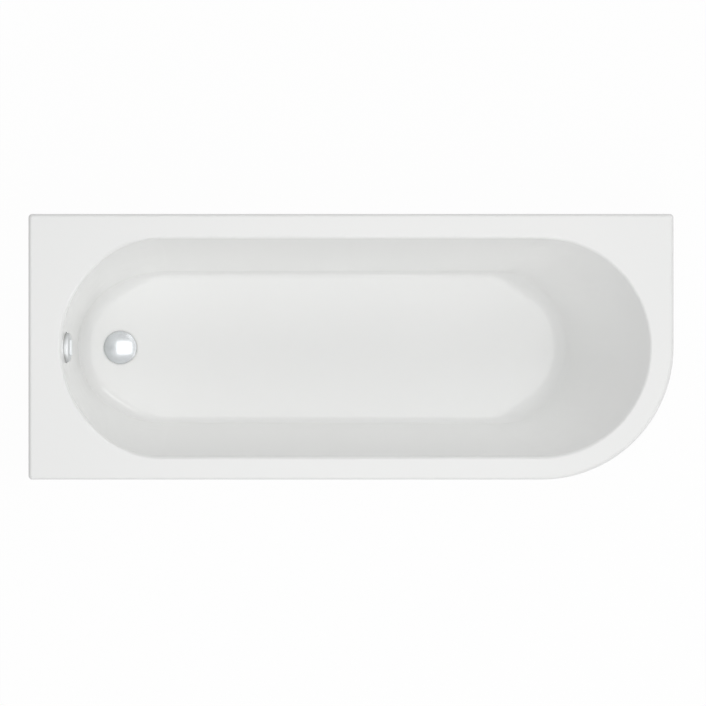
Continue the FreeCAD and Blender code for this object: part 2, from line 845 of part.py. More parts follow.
def hand_nut(label, bore):
    """Ribbed coupling nut that is turned by hand, centred on its own middle."""
    outer = f"({bore} + nut_wall)"
    body = turned(
        label,
        [
            (bore, "-nut_length / 2"),
            (f"{outer} - nut_rib", "-nut_length / 2"),
            (outer, "nut_rib - nut_length / 2"),
            (outer, "nut_length / 2 - nut_rib"),
            (f"{outer} - nut_rib", "nut_length / 2"),
            (bore, "nut_length / 2"),
        ],
    )
    rib = new_sketch(body, "XY_Plane", ("0", "0", "0"))
    half = "(nut_rib_width / 2)"
    outline(rib, rectangle(f"{outer} - nut_rib", f"-{half}", f"{outer} + nut_rib", half))
    first = pad(body, rib, "nut_length - 4 * nut_rib", both=True)
    ribs = body.newObject("PartDesign::PolarPattern", "Ribs")
    ribs.Originals = [first]
    ribs.Axis = (rib, ["N_Axis"])
    ribs.Angle = 360
    bind(ribs, "Occurrences", "nut_rib_count")
    body.Tip = ribs
    doc.recompute()
    return body


def make_screw(label, length):
    """Pan-head screw: its head stands on Z = 0 and its shank points down."""
    head = "screw_head_height"
    return turned(
        label,
        [
            ("0", f"-{length}"),
            ("screw_radius", f"-{length}"),
            ("screw_radius", "0"),
            ("screw_head_radius", "0"),
            ("screw_head_radius", f"{head} / 2", f"{head} / 2", 1),
            (f"screw_head_radius - {head} / 2", head),
            ("0", head),
        ],
        kept=False,
    )


TRAP_TOP = f"({UNDER_Z} - {OUTLET_END} - trap_seal)"
TRAP_BEND_Z = f"({TRAP_TOP} - trap_neck)"
TRAP_OUT_Z = f"({TRAP_BEND_Z} + trap_bend_radius)"
TRAP_END = "(3 * trap_bend_radius + trap_tail)"
PIPE_START = f"({TRAP_END} + trap_seal)"
PIPE_BORE = "outlet_radius - pipe_wall"


def make_trap():
    """U-bend trap, its two hand nuts and seals, and the outlet pipe with a stop bead for the next socket."""
    body = new_body("trap_body")
    bend = "trap_bend_radius"
    path = new_sketch(body, "YZ_Plane")
    corners = [
        ("0", TRAP_TOP),
        ("0", TRAP_BEND_Z, bend, 1),
        (bend, f"{TRAP_BEND_Z} - {bend}", bend, 1),
        (f"2 * {bend}", TRAP_BEND_Z, bend, -1),
        (f"3 * {bend}", TRAP_OUT_Z),
        (TRAP_END, TRAP_OUT_Z),
    ]
    outline(path, corners, closed=False)
    section = new_sketch(body, "XY_Plane", ("0", "0", TRAP_TOP))
    circle(section, "outlet_radius")
    circle(section, PIPE_BORE)
    doc.recompute()
    pipe = body.newObject("PartDesign::AdditivePipe", "Pipe")
    pipe.Profile = section
    pipe.Spine = (path, [f"Edge{i + 1}" for i in range(len(corners) - 1)])
    doc.recompute()
    on_drain(body, "0")

    outlet = new_body("trap_outlet_pipe")
    section = new_sketch(outlet, "XZ_Plane", ("0", TRAP_OUT_Z, f"-{PIPE_START}"))
    circle(section, "outlet_radius")
    circle(section, PIPE_BORE)
    pad(outlet, section, "outlet_pipe_length", back=True)
    bead_y = f"({TRAP_END} + trap_seal / 2 + nut_length / 2 + pipe_bead)"
    bead = new_sketch(outlet, "XZ_Plane", ("0", TRAP_OUT_Z, f"-{bead_y}"))
    circle(bead, "outlet_radius + pipe_bead")
    circle(bead, "outlet_radius - pipe_wall / 2")
    pad(outlet, bead, "2 * pipe_bead", back=True)
    on_drain(outlet, "0")

    bore = "(outlet_radius + thread_clearance)"
    on_drain(hand_nut("trap_inlet_nut", bore), f"{TRAP_TOP} + trap_seal / 2")
    outlet_y = f"{BASIN_Y} + {TRAP_END} + trap_seal / 2"
    outlet_nut = hand_nut("trap_outlet_nut", bore)
    place(outlet_nut, DRAIN_X, outlet_y, TRAP_OUT_Z, Vector(1, 0, 0), "-90")

    seal = new_body("trap_seal", kept=False)
    section = circle(circle(new_sketch(seal, "XY_Plane"), "outlet_radius"), PIPE_BORE)
    pad(seal, section, "trap_seal", both=True)
    inlet = Placement(point_of(DRAIN_X, BASIN_Y, f"{TRAP_TOP} + trap_seal / 2"), Rotation())
    outlet = Placement(point_of(DRAIN_X, outlet_y, TRAP_OUT_Z), Rotation(Vector(1, 0, 0), -90))
    group("trap_seals", (seal, [inlet, outlet]))


# Overflow along its axis: positive heights stand out into the basin, negative ones behind its wall
GASKET_BACK = f"({LAND_WALL} + gasket_thick)"
ELBOW_FRONT = f"({GASKET_BACK} + elbow_flange_thickness)"
ELBOW_BACK = f"({ELBOW_FRONT} + elbow_depth)"
SPIGOT_DEPTH = f"({ELBOW_FRONT} + elbow_depth / 2)"
DIAL_BACK = "(dial_water_gap + dial_skirt)"
DIAL_FRONT = f"({DIAL_BACK} + dial_wall)"
DIAL_SOCKET = f"({DIAL_BACK} + dial_wall / 2)"


def make_overflow_fixed():
    """Seal, outlet elbow, face plate and screws that clamp the basin's wall between them."""
    outer = "overflow_gasket_radius"
    gasket = ring("overflow_gasket", "overflow_hole_radius", outer, f"-{GASKET_BACK}", f"-{LAND_WALL}")
    cup_out = "(elbow_cup_radius + waste_wall)"
    elbow = turned(
        "overflow_elbow",
        [
            ("elbow_cup_radius", f"-{GASKET_BACK}"),
            ("elbow_cup_radius", f"-{ELBOW_BACK}"),
            ("0", f"-{ELBOW_BACK}"),
            ("0", f"-{ELBOW_BACK} - waste_wall"),
            (cup_out, f"-{ELBOW_BACK} - waste_wall"),
            (cup_out, f"-{ELBOW_FRONT}"),
            ("elbow_flange_radius", f"-{ELBOW_FRONT}"),
            ("elbow_flange_radius", f"-{GASKET_BACK}"),
        ],
    )
    root = "sqrt(elbow_cup_radius * elbow_cup_radius - spigot_radius * spigot_radius)"
    spigot = circle(new_sketch(elbow, "YZ_Plane", ("0", f"-{SPIGOT_DEPTH}", root)), "spigot_radius")
    pad(elbow, spigot, f"spigot_reach - {root}")
    bore = new_sketch(elbow, "YZ_Plane", ("0", f"-{SPIGOT_DEPTH}", "spindle_bush_radius + drum_width / 2"))
    pocket(elbow, circle(bore, HOSE_BORE), "spigot_reach", back=True)
    bush = circle(new_sketch(elbow, "XY_Plane", ("0", "0", f"-{ELBOW_BACK}")), "spindle_bush_radius")
    circle(bush, "spindle_radius + running_clearance")
    pad(elbow, bush, "spindle_bush_length")
    screw_y = "(overflow_screw_spacing / 2)"
    lug_half = "(spoke_width / 2)"
    wall_mid = "(elbow_cup_radius + waste_wall / 2)"
    lug_in = f"({screw_y} - {lug_half})"
    for low, high in ((lug_in, wall_mid), (f"-{wall_mid}", f"-{lug_in}")):
        lug = new_sketch(elbow, "XY_Plane", ("0", "0", f"-{ELBOW_FRONT}"))
        outline(lug, rectangle(f"-{lug_half}", low, lug_half, high))
        pad(elbow, lug, "elbow_lug_length", back=True)
    holes = [("0", screw_y), ("0", f"-{screw_y}")]
    lug_holes = new_sketch(elbow, "XY_Plane", ("0", "0", f"-{ELBOW_FRONT}"))
    pocket(elbow, circles(lug_holes, SCREW_HOLE, holes), "elbow_lug_length")

    inner = "(face_radius - face_ring_width)"
    face = ring("overflow_face", inner, "face_radius", "0", "face_thickness")
    spokes = new_sketch(face, "XY_Plane")
    reach = "(face_radius - face_ring_width / 2)"
    outline(spokes, rectangle(f"-{lug_half}", f"-{reach}", lug_half, reach))
    pad(face, spokes, "face_thickness")
    pad(face, circle(new_sketch(face, "XY_Plane"), "face_hub_radius"), "face_thickness")
    hub_bore = circle(new_sketch(face, "XY_Plane"), "spindle_radius + running_clearance")
    pocket(face, hub_bore, "face_thickness", back=True)
    screw_holes = circles(new_sketch(face, "XY_Plane"), SCREW_HOLE, holes)
    pocket(face, screw_holes, "face_thickness", back=True)
    for piece in (gasket, elbow, face):
        on_overflow(piece)

    length = f"(face_thickness + {ELBOW_FRONT} + elbow_lug_length - screw_head_height)"
    screw = make_screw("overflow_screw", length)
    turn = Rotation(Vector(0, 1, 0), value_of(OVERFLOW_TURN))
    frame = Placement(point_of(OVERFLOW_X, BASIN_Y, OVERFLOW_Z), turn)
    group(
        "overflow_screws",
        (screw, [frame * Placement(point_of(x, y, "face_thickness"), Rotation()) for x, y in holes]),
    )


def make_dial():
    """Turn dial with a finger bar across it, and the spindle whose drum works the control cable."""
    edge = "dial_edge_round"
    dial = turned(
        "overflow_dial",
        [
            ("spindle_radius + screw_clearance", f"{DIAL_BACK} - dial_boss_height"),
            ("dial_boss_radius", f"{DIAL_BACK} - dial_boss_height"),
            ("dial_boss_radius", DIAL_BACK),
            ("dial_radius - dial_wall", DIAL_BACK),
            ("dial_radius - dial_wall", "dial_water_gap"),
            ("dial_radius", "dial_water_gap"),
            ("dial_radius", f"{DIAL_FRONT} - {edge}", edge, 1),
            (f"dial_radius - {edge}", DIAL_FRONT),
            ("0", DIAL_FRONT),
            ("0", DIAL_SOCKET),
            ("spindle_radius + screw_clearance", DIAL_SOCKET),
        ],
    )
    half, reach = "(grip_width / 2)", "((grip_length - grip_width) / 2)"
    grip = new_sketch(dial, "XY_Plane", ("0", "0", f"{DIAL_FRONT} - dial_wall / 2"))
    bar = [
        (half, f"-{reach}"),
        (half, reach, half, 1),
        ("0", f"{reach} + {half}", half, 1),
        (f"-{half}", reach),
        (f"-{half}", f"-{reach}", half, 1),
        ("0", f"-{reach} - {half}", half, 1),
    ]
    grip_pad = pad(dial, outline(grip, bar), "grip_height + dial_wall / 2")
    grip_top = value_of(f"{DIAL_FRONT} + grip_height")
    round_edges(dial, grip_pad, "grip_width / 4", lambda edge: edge.BoundBox.ZMin > grip_top - 0.01)

    drum_back = f"-({SPIGOT_DEPTH} + drum_width / 2)"
    drum_front = f"-({SPIGOT_DEPTH} - drum_width / 2)"
    end = f"-{ELBOW_BACK} + waste_wall / 2"
    spindle = turned(
        "dial_spindle",
        [
            ("0", end),
            ("spindle_radius", end),
            ("spindle_radius", drum_back),
            ("drum_radius", drum_back),
            ("drum_radius", drum_front),
            ("spindle_radius", drum_front),
            ("spindle_radius", DIAL_SOCKET),
            ("0", DIAL_SOCKET),
        ],
    )
    for piece in (dial, spindle):
        on_overflow(piece)


def on_hose(distance):
    """A point of the elbow spigot's axis, in X and Z, at a distance down the wall from the overflow."""
    sine, cosine = "sin(foot_draft * 1 deg)", "cos(foot_draft * 1 deg)"
    x = f"({OVERFLOW_X} + {distance} * {sine} - {SPIGOT_DEPTH} * {cosine})"
    z = f"({OVERFLOW_Z} - {distance} * {cosine} - {SPIGOT_DEPTH} * {sine})"
    return x, z


# The hose leaves the elbow along the wall, bends once and meets the waste body's branch
HOSE_CORNER = (
    f"(({OVERFLOW_Z} - {SPIGOT_DEPTH} * sin(foot_draft * 1 deg) - {BRANCH_Z}) / cos(foot_draft * 1 deg))"
)
HOSE_TANGENT = "(hose_bend_radius * tan((45 - foot_draft / 2) * 1 deg))"
HOSE_END_X = f"({DRAIN_X} - branch_reach)"
HOSE_BEND = [
    (*on_hose(f"({HOSE_CORNER} - {HOSE_TANGENT})"), "hose_bend_radius", 1),
    (f"{on_hose(HOSE_CORNER)[0]} + {HOSE_TANGENT}", BRANCH_Z),
]


def make_control_cable():
    """Push-pull cable inside the hose, from the dial's drum to the lever's tail."""
    body = new_body("control_cable")
    drop = "(chamber_height / 2 - lever_pivot_drop)"
    tail_face = f"(lever_arm + {drop} * tan(lever_rest_angle * 1 deg)"
    tail_face += " + lever_thickness / 2 / cos(lever_rest_angle * 1 deg))"
    start = on_hose("(drum_radius + cable_gap)")
    end = (f"{DRAIN_X} - {tail_face} - cable_gap - cable_radius * tan(lever_rest_angle * 1 deg)", BRANCH_Z)
    path = outline(new_sketch(body, "XZ_Plane"), [start, *HOSE_BEND, end], closed=False)
    section = new_sketch(body, "XY_Plane", (start[0], "0", start[1]), "-foot_draft")
    circle(section, "cable_radius")
    doc.recompute()
    pipe = body.newObject("PartDesign::AdditivePipe", "Pipe")
    pipe.Profile = section
    pipe.Spine = (path, ["Edge1", "Edge2", "Edge3"])
    doc.recompute()
    place(body, "0", BASIN_Y, "0")


def hose_line():
    """The hose's length, and a function that gives its point and direction at a distance along it."""
    upper_x, upper_z = on_hose("spigot_reach")
    upper = point_of(upper_x, BASIN_Y, upper_z)
    bend = point_of(HOSE_BEND[0][0], BASIN_Y, HOSE_BEND[0][1])
    level = point_of(HOSE_BEND[1][0], BASIN_Y, BRANCH_Z)
    radius = value_of("hose_bend_radius")
    middle = level + Vector(0, 0, radius)
    down, ahead = (bend - upper).normalize(), Vector(1, 0, 0)
    straight = (bend - upper).Length
    arc = radius * math.radians(value_of(OVERFLOW_TURN))

    def station(distance):
        if distance <= straight:
            return upper + down * distance, down
        if distance >= straight + arc:
            return level + ahead * (distance - straight - arc), ahead
        swing = Rotation(Vector(0, 1, 0), -math.degrees((distance - straight) / radius))
        return middle + swing.multVec(bend - middle), swing.multVec(down)

    return straight + arc + value_of(HOSE_END_X) - level.x, station


def make_overflow_hose():
    """Ribbed hose with smooth cuffs, lofted through four rings to a rib, and its two hand nuts."""
    length, station = hose_line()
    cuff, root, crest = (value_of(name) for name in ("spigot_radius", "hose_root_radius", "hose_rib_radius"))
    pitch = value_of("rib_pitch")
    ribs = int((length - 2 * value_of("hose_cuff")) / pitch)
    first = (length - ribs * pitch) / 2
    rings = [(0, cuff), (first - pitch / 4, cuff)]
    for i in range(ribs):
        start = first + i * pitch
        for quarter, radius in enumerate((root, crest, crest, root)):
            rings.append((start + quarter * pitch / 4, radius))
    rings += [(length - first, cuff), (length, cuff)]

    def tube(sections):
        wires = []
        for distance, radius in sections:
            spot, way = station(distance)
            wire = Part.Wire([Part.makeCircle(radius)])
            wire.Placement = Placement(spot, Rotation(Vector(0, 1, 0), Vector(), way, "ZXY"))
            wires.append(wire)
        return Part.makeLoft(wires, True, True)

    hose = doc.addObject("Part::Feature", "overflow_hose")
    steps = range(ribs + 1)
    bore = value_of(HOSE_BORE)
    hose.Shape = tube(rings).cut(tube([(length * i / ribs, bore) for i in steps]))
    pieces.append(hose)

    nut_bore = "(spigot_radius + thread_clearance)"
    upper_x, upper_z = on_hose("spigot_reach")
    upper = hand_nut("hose_nut_upper", nut_bore)
    place(upper, upper_x, BASIN_Y, upper_z, Vector(0, 1, 0), "180 - foot_draft")
    place(hand_nut("hose_nut_lower", nut_bore), HOSE_END_X, BASIN_Y, BRANCH_Z, Vector(0, 1, 0), "90")


# Baseboard, legs and feet
BOARD_Z = f"({UNDER_Z} - board_thickness)"
WEB_Z = f"({BOARD_Z} - rail_gauge)"
PLATE_Z = f"({BOARD_Z} - plate_thickness)"
RAIL_FOOT_X = "(-bath_length / 2 + rail_foot_setback)"
RAIL_HEAD_X = "(bath_length / 2 - rail_head_setback)"
CENTRE_X = f"(({RAIL_FOOT_X} + {RAIL_HEAD_X}) / 2)"
HALF_RAIL = "(bath_width / 2 - rail_end_gap)"
STUD_REACH = f"({HALF_RAIL} - stud_end_gap)"
FRONT_STUD_Y = f"({BASIN_Y} - {STUD_REACH})"
BACK_STUD_Y = f"({BASIN_Y} + {STUD_REACH})"
RAIL_STUDS = [(x, y) for x in (RAIL_FOOT_X, RAIL_HEAD_X) for y in (FRONT_STUD_Y, BACK_STUD_Y)]
RAIL_SCREWS = [
    (x, f"{BASIN_Y} {way} rail_screw_spacing / 2") for x in (RAIL_FOOT_X, RAIL_HEAD_X) for way in "+-"
]
PLATE_SCREWS = [
    (f"{CENTRE_X} {x_way} plate_screw_spacing / 2", f"{BASIN_Y} {y_way} plate_screw_spacing / 2")
    for x_way in "+-"
    for y_way in "+-"
]
FLIPPED = Rotation(Vector(1, 0, 0), 180)


def make_baseboard():
    """Board bonded under the basin's floor, and the screws that hold the legs to it."""
    board = new_body("baseboard")
    sketch = new_sketch(board, "XY_Plane", ("0", "0", BOARD_Z))
    corners = rounded(
        "(-bath_length / 2 + board_foot_setback)",
        f"({BASIN_Y} - board_width / 2)",
        "(bath_length / 2 - board_head_setback)",
        f"({BASIN_Y} + board_width / 2)",
        "board_corner",
    )
    pad(board, outline(sketch, corners), "board_thickness")
    holes = new_sketch(board, "XY_Plane", ("0", "0", BOARD_Z))
    pocket(board, circles(holes, SCREW_HOLE, RAIL_SCREWS + PLATE_SCREWS), "screw_bite", back=True)
    rail_screw = make_screw("rail_screw", "(rail_gauge + screw_bite)")
    plate_screw = make_screw("plate_screw", "(plate_thickness + screw_bite)")
    group(
        "board_screws",
        (rail_screw, [Placement(point_of(x, y, WEB_Z), FLIPPED) for x, y in RAIL_SCREWS]),
        (plate_screw, [Placement(point_of(x, y, PLATE_Z), FLIPPED) for x, y in PLATE_SCREWS]),
    )


def make_leg_rail(label, x):
    """Folded steel channel across the baseboard, open downwards, drilled for its studs and screws."""
    body = new_body(label)
    half, inner = "(rail_width / 2)", "(rail_width / 2 - rail_gauge)"
    section = [
        (f"-{half}", "-rail_depth"),
        (f"-{inner}", "-rail_depth"),
        (f"-{inner}", "-rail_gauge"),
        (inner, "-rail_gauge"),
        (inner, "-rail_depth"),
        (half, "-rail_depth"),
        (half, "0"),
        (f"-{half}", "0"),
    ]
    pad(body, outline(new_sketch(body, "XZ_Plane"), section), f"2 * {HALF_RAIL}", both=True)
    holes = new_sketch(body, "XY_Plane")
    circles(holes, "stud_radius + stud_hole_clearance", [("0", f"{way} {STUD_REACH}") for way in "+-"])
    circles(holes, SCREW_HOLE, [("0", f"{way} rail_screw_spacing / 2") for way in "+-"])
    pocket(body, holes, "rail_gauge")
    place(body, x, BASIN_Y, BOARD_Z)


def make_centre_socket():
    """Screwed plate with a threaded sleeve for the middle foot."""
    body = new_body("centre_foot_socket")
    half = "(plate_width / 2)"
    corners = rounded(f"-{half}", f"-{half}", half, half, "sleeve_radius")
    pad(body, outline(new_sketch(body, "XY_Plane"), corners), "plate_thickness", back=True)
    sleeve = circle(new_sketch(body, "XY_Plane", ("0", "0", "-plate_thickness")), "sleeve_radius")
    pad(body, sleeve, "sleeve_length", back=True)
    bore = new_sketch(body, "XY_Plane", ("0", "0", "-plate_thickness"))
    pocket(body, circle(bore, "stud_radius + running_clearance"), "sleeve_length")
    spots = [(f"{a} plate_screw_spacing / 2", f"{b} plate_screw_spacing / 2") for a in "+-" for b in "+-"]
    pocket(body, circles(new_sketch(body, "XY_Plane"), SCREW_HOLE, spots), "plate_thickness")
    place(body, CENTRE_X, BASIN_Y, BOARD_Z)


def make_foot(number, x, y, top):
    """Swaged foot pad and the threaded stud that sets its height."""
    socket = "(stud_radius + screw_clearance)"
    sole = turned(
        f"foot_pad_{number}",
        [
            ("0", "0"),
            ("pad_radius", "0"),
            ("pad_radius", "pad_edge"),
            ("pad_neck_radius", "pad_shoulder"),
            ("pad_neck_radius", "pad_height"),
            (socket, "pad_height"),
            (socket, "pad_socket_floor"),
            ("0", "pad_socket_floor"),
        ],
    )
    place(sole, x, y)
    stud = doc.addObject("Part::Cylinder", f"foot_stud_{number}")
    stud.Label = f"foot_stud_{number}"
    bind(stud, "Radius", "stud_radius")
    bind(stud, "Height", f"{top} - pad_socket_floor")
    place(stud, x, y, "pad_socket_floor")
    pieces.append(stud)


def make_stud_nuts():
    """Two hexagon nuts on each rail stud, one on either side of the rail's web."""
    nut = new_body("stud_nut", kept=False)
    corner = "stud_nut_flats / sqrt(3)"
    hexagon = [(f"{corner} * cos({60 * i} deg)", f"{corner} * sin({60 * i} deg)") for i in range(6)]
    section = outline(new_sketch(nut, "XY_Plane"), hexagon)
    pad(nut, circle(section, "stud_radius + running_clearance"), "stud_nut_height")
    levels = (BOARD_Z, f"{WEB_Z} - stud_nut_height")
    places = [Placement(point_of(x, y, z), Rotation()) for x, y in RAIL_STUDS for z in levels]
    group("stud_nuts", (nut, places))


def make_legs():
    """Two rails with a foot at each end, and one foot under the middle of the board."""
    make_leg_rail("leg_rail_foot_end", RAIL_FOOT_X)
    make_leg_rail("leg_rail_head_end", RAIL_HEAD_X)
    make_centre_socket()
    make_stud_nuts()
    for number, (x, y) in enumerate(RAIL_STUDS, start=1):
        make_foot(number, x, y, f"{BOARD_Z} + stud_projection")
    make_foot(len(RAIL_STUDS) + 1, CENTRE_X, BASIN_Y, f"{PLATE_Z} - centre_stud_gap")


# Battens bonded under the rim, and the panel that hangs from the front one
SIDE_WALL = f"({HALF_OPENING} + shell_wall / cos(side_draft * 1 deg) + batten_gap)"
FRONT_BATTEN_Y = f"({BASIN_Y} - {SIDE_WALL} - batten_width)"
BACK_BATTEN_Y = f"({BASIN_Y} + {SIDE_WALL})"
BATTEN_Z = f"({DECK_Z} - batten_height)"
BATTEN_X = "(bath_length / 2 - batten_setback)"
PANEL_INSET = "(shell_wall + panel_gap)"
PANEL_IN = f"({PANEL_INSET} + panel_wall)"
PANEL_TOP = f"({DECK_Z} - panel_top_gap)"
HANG_Z = f"({PANEL_TOP} - panel_wall)"
CLIP_Y = f"({FRONT_BATTEN_Y} - clip_gauge)"
CLIP_SCREW_Z = f"({HANG_Z} - clip_gauge - screw_head_radius * 1.1)"
RAIL_END_Y = f"({BASIN_Y} - {HALF_RAIL})"
STAY_Z = "(panel_floor_gap + panel_wall)"
STAY_TIP_Y = f"(-bath_width / 2 + {PANEL_IN} + stay_end_gap)"
STAY_SCREW_Y = f"({STAY_TIP_Y} + screw_head_radius * 2)"


def clip_places():
    """The X of each panel clip, counted from the foot end."""
    count = int(value_of("clip_count"))
    first, last = "(-bath_length / 2 + clip_first_setback)", f"({CURVE_X} - clip_last_setback)"
    return [f"({first} + ({last} - {first}) * {i} / {count - 1})" for i in range(count)]


def make_battens():
    """Timber strips bonded under the rim along the back, the front and the foot end."""
    spans = {
        "rim_batten_back": (
            f"-{BATTEN_X}",
            BACK_BATTEN_Y,
            f"bath_length / 2 - {PANEL_IN} - panel_top_flange - batten_gap",
            f"{BACK_BATTEN_Y} + batten_width",
        ),
        "rim_batten_front": (f"-{BATTEN_X}", FRONT_BATTEN_Y, CURVE_X, f"{FRONT_BATTEN_Y} + batten_width"),
        "rim_batten_foot": (
            f"-{BATTEN_X}",
            f"{FRONT_BATTEN_Y} + batten_width + batten_gap",
            f"-{BATTEN_X} + batten_width",
            f"{BACK_BATTEN_Y} - batten_gap",
        ),
    }
    for label, corners in spans.items():
        body = new_body(label)
        sketch = outline(new_sketch(body, "XY_Plane", ("0", "0", BATTEN_Z)), rectangle(*corners))
        pad(body, sketch, "batten_height")
        if label == "rim_batten_front":
            holes = new_sketch(body, "XZ_Plane", ("0", CLIP_SCREW_Z, f"-{FRONT_BATTEN_Y}"))
            pocket(body, circles(holes, SCREW_HOLE, [(x, "0") for x in clip_places()]), "screw_bite")


def panel_strip(inner):
    """The panel's line round the front and the J curve, from its outer face to an inner offset."""
    start = f"-(bath_length / 2 - {PANEL_INSET})"
    finish = f"(bath_width / 2 - {PANEL_INSET})"
    right, front = f"(bath_length / 2 - {PANEL_INSET})", f"-(bath_width / 2 - {PANEL_INSET})"
    right_in, front_in = f"(bath_length / 2 - {inner})", f"-(bath_width / 2 - {inner})"
    return [
        (start, front),
        (CURVE_X, front, f"{CURVE_RADIUS} - {PANEL_INSET}", 1),
        (right, CURVE_Y),
        (right, finish),
        (right_in, finish),
        (right_in, CURVE_Y, f"{CURVE_RADIUS} - {inner}", -1),
        (CURVE_X, front_in),
        (start, front_in),
    ]


def make_front_panel():
    """Wrap-round panel with a turned-in flange along its top and its foot."""
    body = new_body("front_panel")
    strips = (
        ("panel_floor_gap", PANEL_IN, f"{PANEL_TOP} - panel_floor_gap"),
        ("panel_floor_gap", f"({PANEL_IN} + panel_foot_flange)", "panel_wall"),
        (HANG_Z, f"({PANEL_IN} + panel_top_flange)", "panel_wall"),
    )
    for level, inner, height in strips:
        sketch = new_sketch(body, "XY_Plane", ("0", "0", level))
        pad(body, outline(sketch, panel_strip(inner)), height)
    holes = new_sketch(body, "XY_Plane", ("0", "0", "panel_floor_gap"))
    spots = [(x, STAY_SCREW_Y) for x in (RAIL_FOOT_X, RAIL_HEAD_X)]
    pocket(body, circles(holes, SCREW_HOLE, spots), "panel_wall", back=True)


def make_panel_fixings():
    """Clips that carry the panel's top flange, stays that hold its foot, and their screws."""
    clip = new_body("panel_clip", kept=False)
    tip = f"{CLIP_Y} - clip_reach"
    section = [
        (FRONT_BATTEN_Y, BATTEN_Z),
        (FRONT_BATTEN_Y, DECK_Z),
        (CLIP_Y, DECK_Z),
        (CLIP_Y, HANG_Z),
        (tip, HANG_Z),
        (tip, f"{HANG_Z} - clip_gauge"),
        (CLIP_Y, f"{HANG_Z} - clip_gauge"),
        (CLIP_Y, BATTEN_Z),
    ]
    pad(clip, outline(new_sketch(clip, "YZ_Plane"), section), "clip_width", both=True)
    hole = new_sketch(clip, "XZ_Plane", ("0", CLIP_SCREW_Z, f"-{CLIP_Y}"))
    pocket(clip, circle(hole, SCREW_HOLE), "clip_gauge")
    group("panel_clips", (clip, [Placement(point_of(x, "0", "0"), Rotation()) for x in clip_places()]))

    stay = new_body("panel_stay", kept=False)
    back = f"{RAIL_END_Y} - stay_gauge"
    section = [
        (STAY_TIP_Y, STAY_Z),
        (RAIL_END_Y, STAY_Z),
        (RAIL_END_Y, BOARD_Z),
        (back, BOARD_Z),
        (back, f"{STAY_Z} + stay_gauge"),
        (STAY_TIP_Y, f"{STAY_Z} + stay_gauge"),
    ]
    pad(stay, outline(new_sketch(stay, "YZ_Plane"), section), "rail_width", both=True)
    hole = new_sketch(stay, "XY_Plane", ("0", STAY_SCREW_Y, STAY_Z))
    pocket(stay, circle(hole, SCREW_HOLE), "stay_gauge", back=True)
    stay_places = [Placement(point_of(x, "0", "0"), Rotation()) for x in (RAIL_FOOT_X, RAIL_HEAD_X)]
    group("panel_stays", (stay, stay_places))

    clip_screw = make_screw("clip_screw", "(clip_gauge + screw_bite)")
    stay_screw = make_screw("stay_screw", "(panel_wall + stay_gauge + screw_radius)")
    inward = Rotation(Vector(1, 0, 0), 90)
    clip_screws = [Placement(point_of(x, CLIP_Y, CLIP_SCREW_Z), inward) for x in clip_places()]
    stay_screws = [
        Placement(point_of(x, STAY_SCREW_Y, "panel_floor_gap"), FLIPPED) for x in (RAIL_FOOT_X, RAIL_HEAD_X)
    ]
    group("panel_screws", (clip_screw, clip_screws), (stay_screw, stay_screws))


def make_wall_bracket(label, x):
    """Hooked steel bracket: it screws to the wall, and the rim's back lip drops into it."""
    body = new_body(label)
    wall = "(bath_width / 2)"
    hook = f"({wall} - shell_wall - bracket_hook_gap)"
    low = f"({LIP_Z} - bracket_drop)"
    section = [
        (f"{wall} - bracket_gauge", low),
        (wall, low),
        (wall, LIP_Z),
        (hook, LIP_Z),
        (hook, f"{LIP_Z} + bracket_hook_rise"),
        (f"{hook} - bracket_gauge", f"{LIP_Z} + bracket_hook_rise"),
        (f"{hook} - bracket_gauge", f"{LIP_Z} - bracket_gauge"),
        (f"{wall} - bracket_gauge", f"{LIP_Z} - bracket_gauge"),
    ]
    pad(body, outline(new_sketch(body, "YZ_Plane"), section), "bracket_width", both=True)
    holes = new_sketch(body, "XZ_Plane", ("0", f"{LIP_Z} - bracket_hole_drop", f"-{wall}"))
    spots = [(f"{way} bracket_hole_spacing / 2", "0") for way in "+-"]
    pocket(body, circles(holes, "bracket_hole_radius", spots), "bracket_gauge", back=True)
    place(body, x)


def make_bath():
    """Every piece of the bath, in the order it goes together."""
    make_bath_shell()
    make_battens()
    make_baseboard()
    make_legs()
    make_waste_gaskets()
    make_waste_flange()
    make_waste_body()
    make_lift_lever()
    make_plug()
    make_trap()
    make_overflow_fixed()
    make_dial()
    make_control_cable()
    make_overflow_hose()
    make_front_panel()
    make_panel_fixings()
    make_wall_bracket("wall_bracket_foot_end", "-bracket_spacing / 2")
    make_wall_bracket("wall_bracket_head_end", "bracket_spacing / 2")


def check_bath():
    """Stops if an object failed to compute or a piece has no sound shape."""
    doc.recompute()
    for item in doc.Objects:
        if "Invalid" in item.State or "Error" in item.State:
            raise ValueError(f"{item.Label} did not compute: {item.getStatusString()}")
    for piece in pieces:
        if piece.Shape.isNull() or not piece.Shape.isValid() or not piece.Shape.Solids:
            raise ValueError(f"{piece.Label} has no sound shape")


make_bath()
check_bath()
os.makedirs("parts", exist_ok=True)
for piece in pieces:
    piece.Shape.exportStep(f"parts/{piece.Label}.step")
print(f"{len(pieces)} pieces")
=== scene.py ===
"""Dresses the J-shaped bath: finishes for its solids, a ribbed overflow hose, threaded feet, a studio."""

import json
import logging
import math
from bisect import bisect_right
from collections.abc import Sequence
from dataclasses import dataclass, field
from enum import Enum, IntEnum

import bmesh
import bpy
from mathutils import Matrix, Vector


